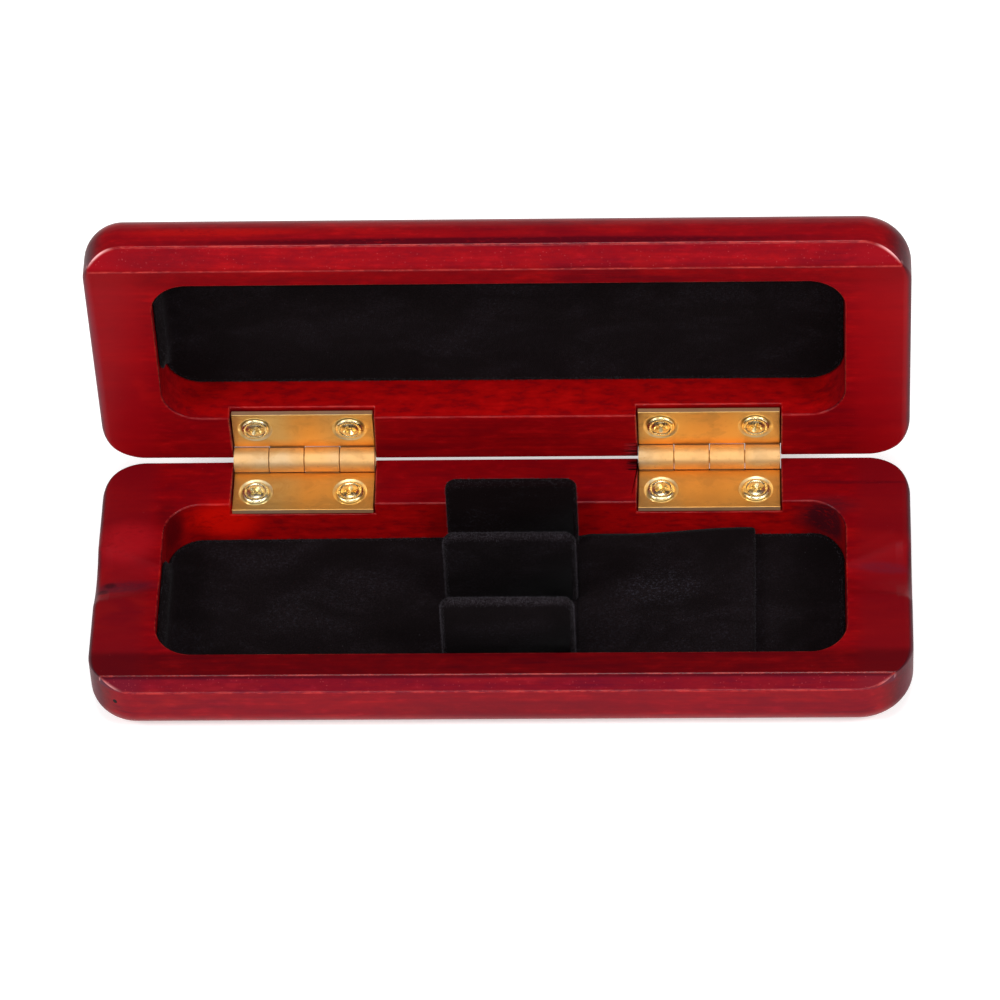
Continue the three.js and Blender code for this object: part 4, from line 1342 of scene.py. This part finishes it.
# %% [markdown]
# Stage
#
# A pale floor and a bright, even room, as for a catalogue picture. Two soft boxes stand to the left
# and the right, one hangs above, and weaker ones are in front and behind. Two small lights low at
# the sides pick out the rounded edges. The camera is where the photograph was taken from: far off,
# with a long lens, about 48 degrees above the floor, looking nearly straight at the front and tilted
# by a few degrees.

# %% Floor and lights
FLOOR_SIZE = 6.0
FLOOR_THICKNESS = 0.02
square = np.array([(-1, -1), (1, -1), (1, 1), (-1, 1)]) * FLOOR_SIZE / 2
floor = new_object("floor", loft("floor", raised(square, [-FLOOR_THICKNESS, 0.0])))
floor_material, _, _ = new_material(
    "floor", Base_Color=(0.8, 0.8, 0.8, 1.0), Roughness=0.9, Specular_IOR_Level=0.1,
    Emission_Color=(1.0, 1.0, 1.0, 1.0), Emission_Strength=0.42)
floor.data.materials.append(floor_material)

TARGET = (0, 0.01, 0.015)
# Of each light: its place, its width and height, and its power in watts
LIGHTS = {
    "softbox_left": ((-0.54, -0.28, 0.52), (0.26, 0.30), 3.0),
    "softbox_right": ((0.55, -0.27, 0.53), (0.26, 0.30), 3.0),
    "softbox_above": ((0.02, -0.02, 0.95), (0.34, 0.34), 2.8),
    "softbox_front": ((0.05, -0.72, 0.50), (0.40, 0.16), 1.6),
    "softbox_back": ((0.0, 0.85, 0.26), (0.9, 0.16), 0.5),
    "edge_light_left": ((-0.52, -0.74, 0.10), (0.10, 0.08), 0.3),
    "edge_light_right": ((0.52, -0.74, 0.10), (0.10, 0.08), 0.3)}


def soft_light(name, place, size, power):
    """A flat area light at a place, turned so that it looks at the target."""
    light = bpy.data.lights.new(name, "AREA")
    light.shape = "RECTANGLE"
    light.size, light.size_y = size
    light.energy = power
    made = new_object(name, light)
    made.location = place
    made.rotation_euler = (Vector(TARGET) - Vector(place)).to_track_quat("-Z", "Y").to_euler()


for name, values in LIGHTS.items():
    soft_light(name, *values)

room = bpy.data.worlds.new("room")
room.use_nodes = True
room.node_tree.nodes["Background"].inputs["Color"].default_value = (1, 1, 1, 1)
room.node_tree.nodes["Background"].inputs["Strength"].default_value = 0.30
bpy.context.scene.world = room
bpy.context.scene.view_settings.view_transform = "Standard"
print("lights, watts in all:", round(sum(power for _, _, power in LIGHTS.values()), 1))

# %% Camera
CAMERA_DISTANCE = 0.82678
CAMERA_ELEVATION = math.radians(47.947)
CAMERA_YAW = math.radians(4.022)
CAMERA_ROLL = math.radians(-3.363)
AIM_RIGHT = 0.000806
AIM_UP = 0.005513
LENS = 226.1
SENSOR_WIDTH = 36.0


def photograph_camera():
    """Looks along minus back, rolled about it; the aim slides the picture right and up."""
    rise, yaw, roll = CAMERA_ELEVATION, CAMERA_YAW, CAMERA_ROLL
    back = np.array([math.sin(yaw) * math.cos(rise), -math.cos(yaw) * math.cos(rise), math.sin(rise)])
    flat_right = np.array([math.cos(yaw), math.sin(yaw), 0.0])
    flat_up = np.cross(back, flat_right)
    right = math.cos(roll) * flat_right + math.sin(roll) * flat_up
    up = -math.sin(roll) * flat_right + math.cos(roll) * flat_up
    place = HINGE_AXIS + CAMERA_DISTANCE * back - AIM_RIGHT * right - AIM_UP * up
    data = bpy.data.cameras.new("camera")
    data.lens = LENS
    data.sensor_width = SENSOR_WIDTH
    data.clip_start, data.clip_end = 0.01, 20.0
    made = new_object("camera", data)
    made.matrix_world = Matrix([(*row, where) for row, where in
                                zip(np.column_stack([right, up, back]).tolist(), place.tolist())]
                               + [(0, 0, 0, 1)])
    bpy.context.scene.camera = made


photograph_camera()
print("field of view, degrees:", round(math.degrees(2 * math.atan(SENSOR_WIDTH / 2 / LENS)), 2))
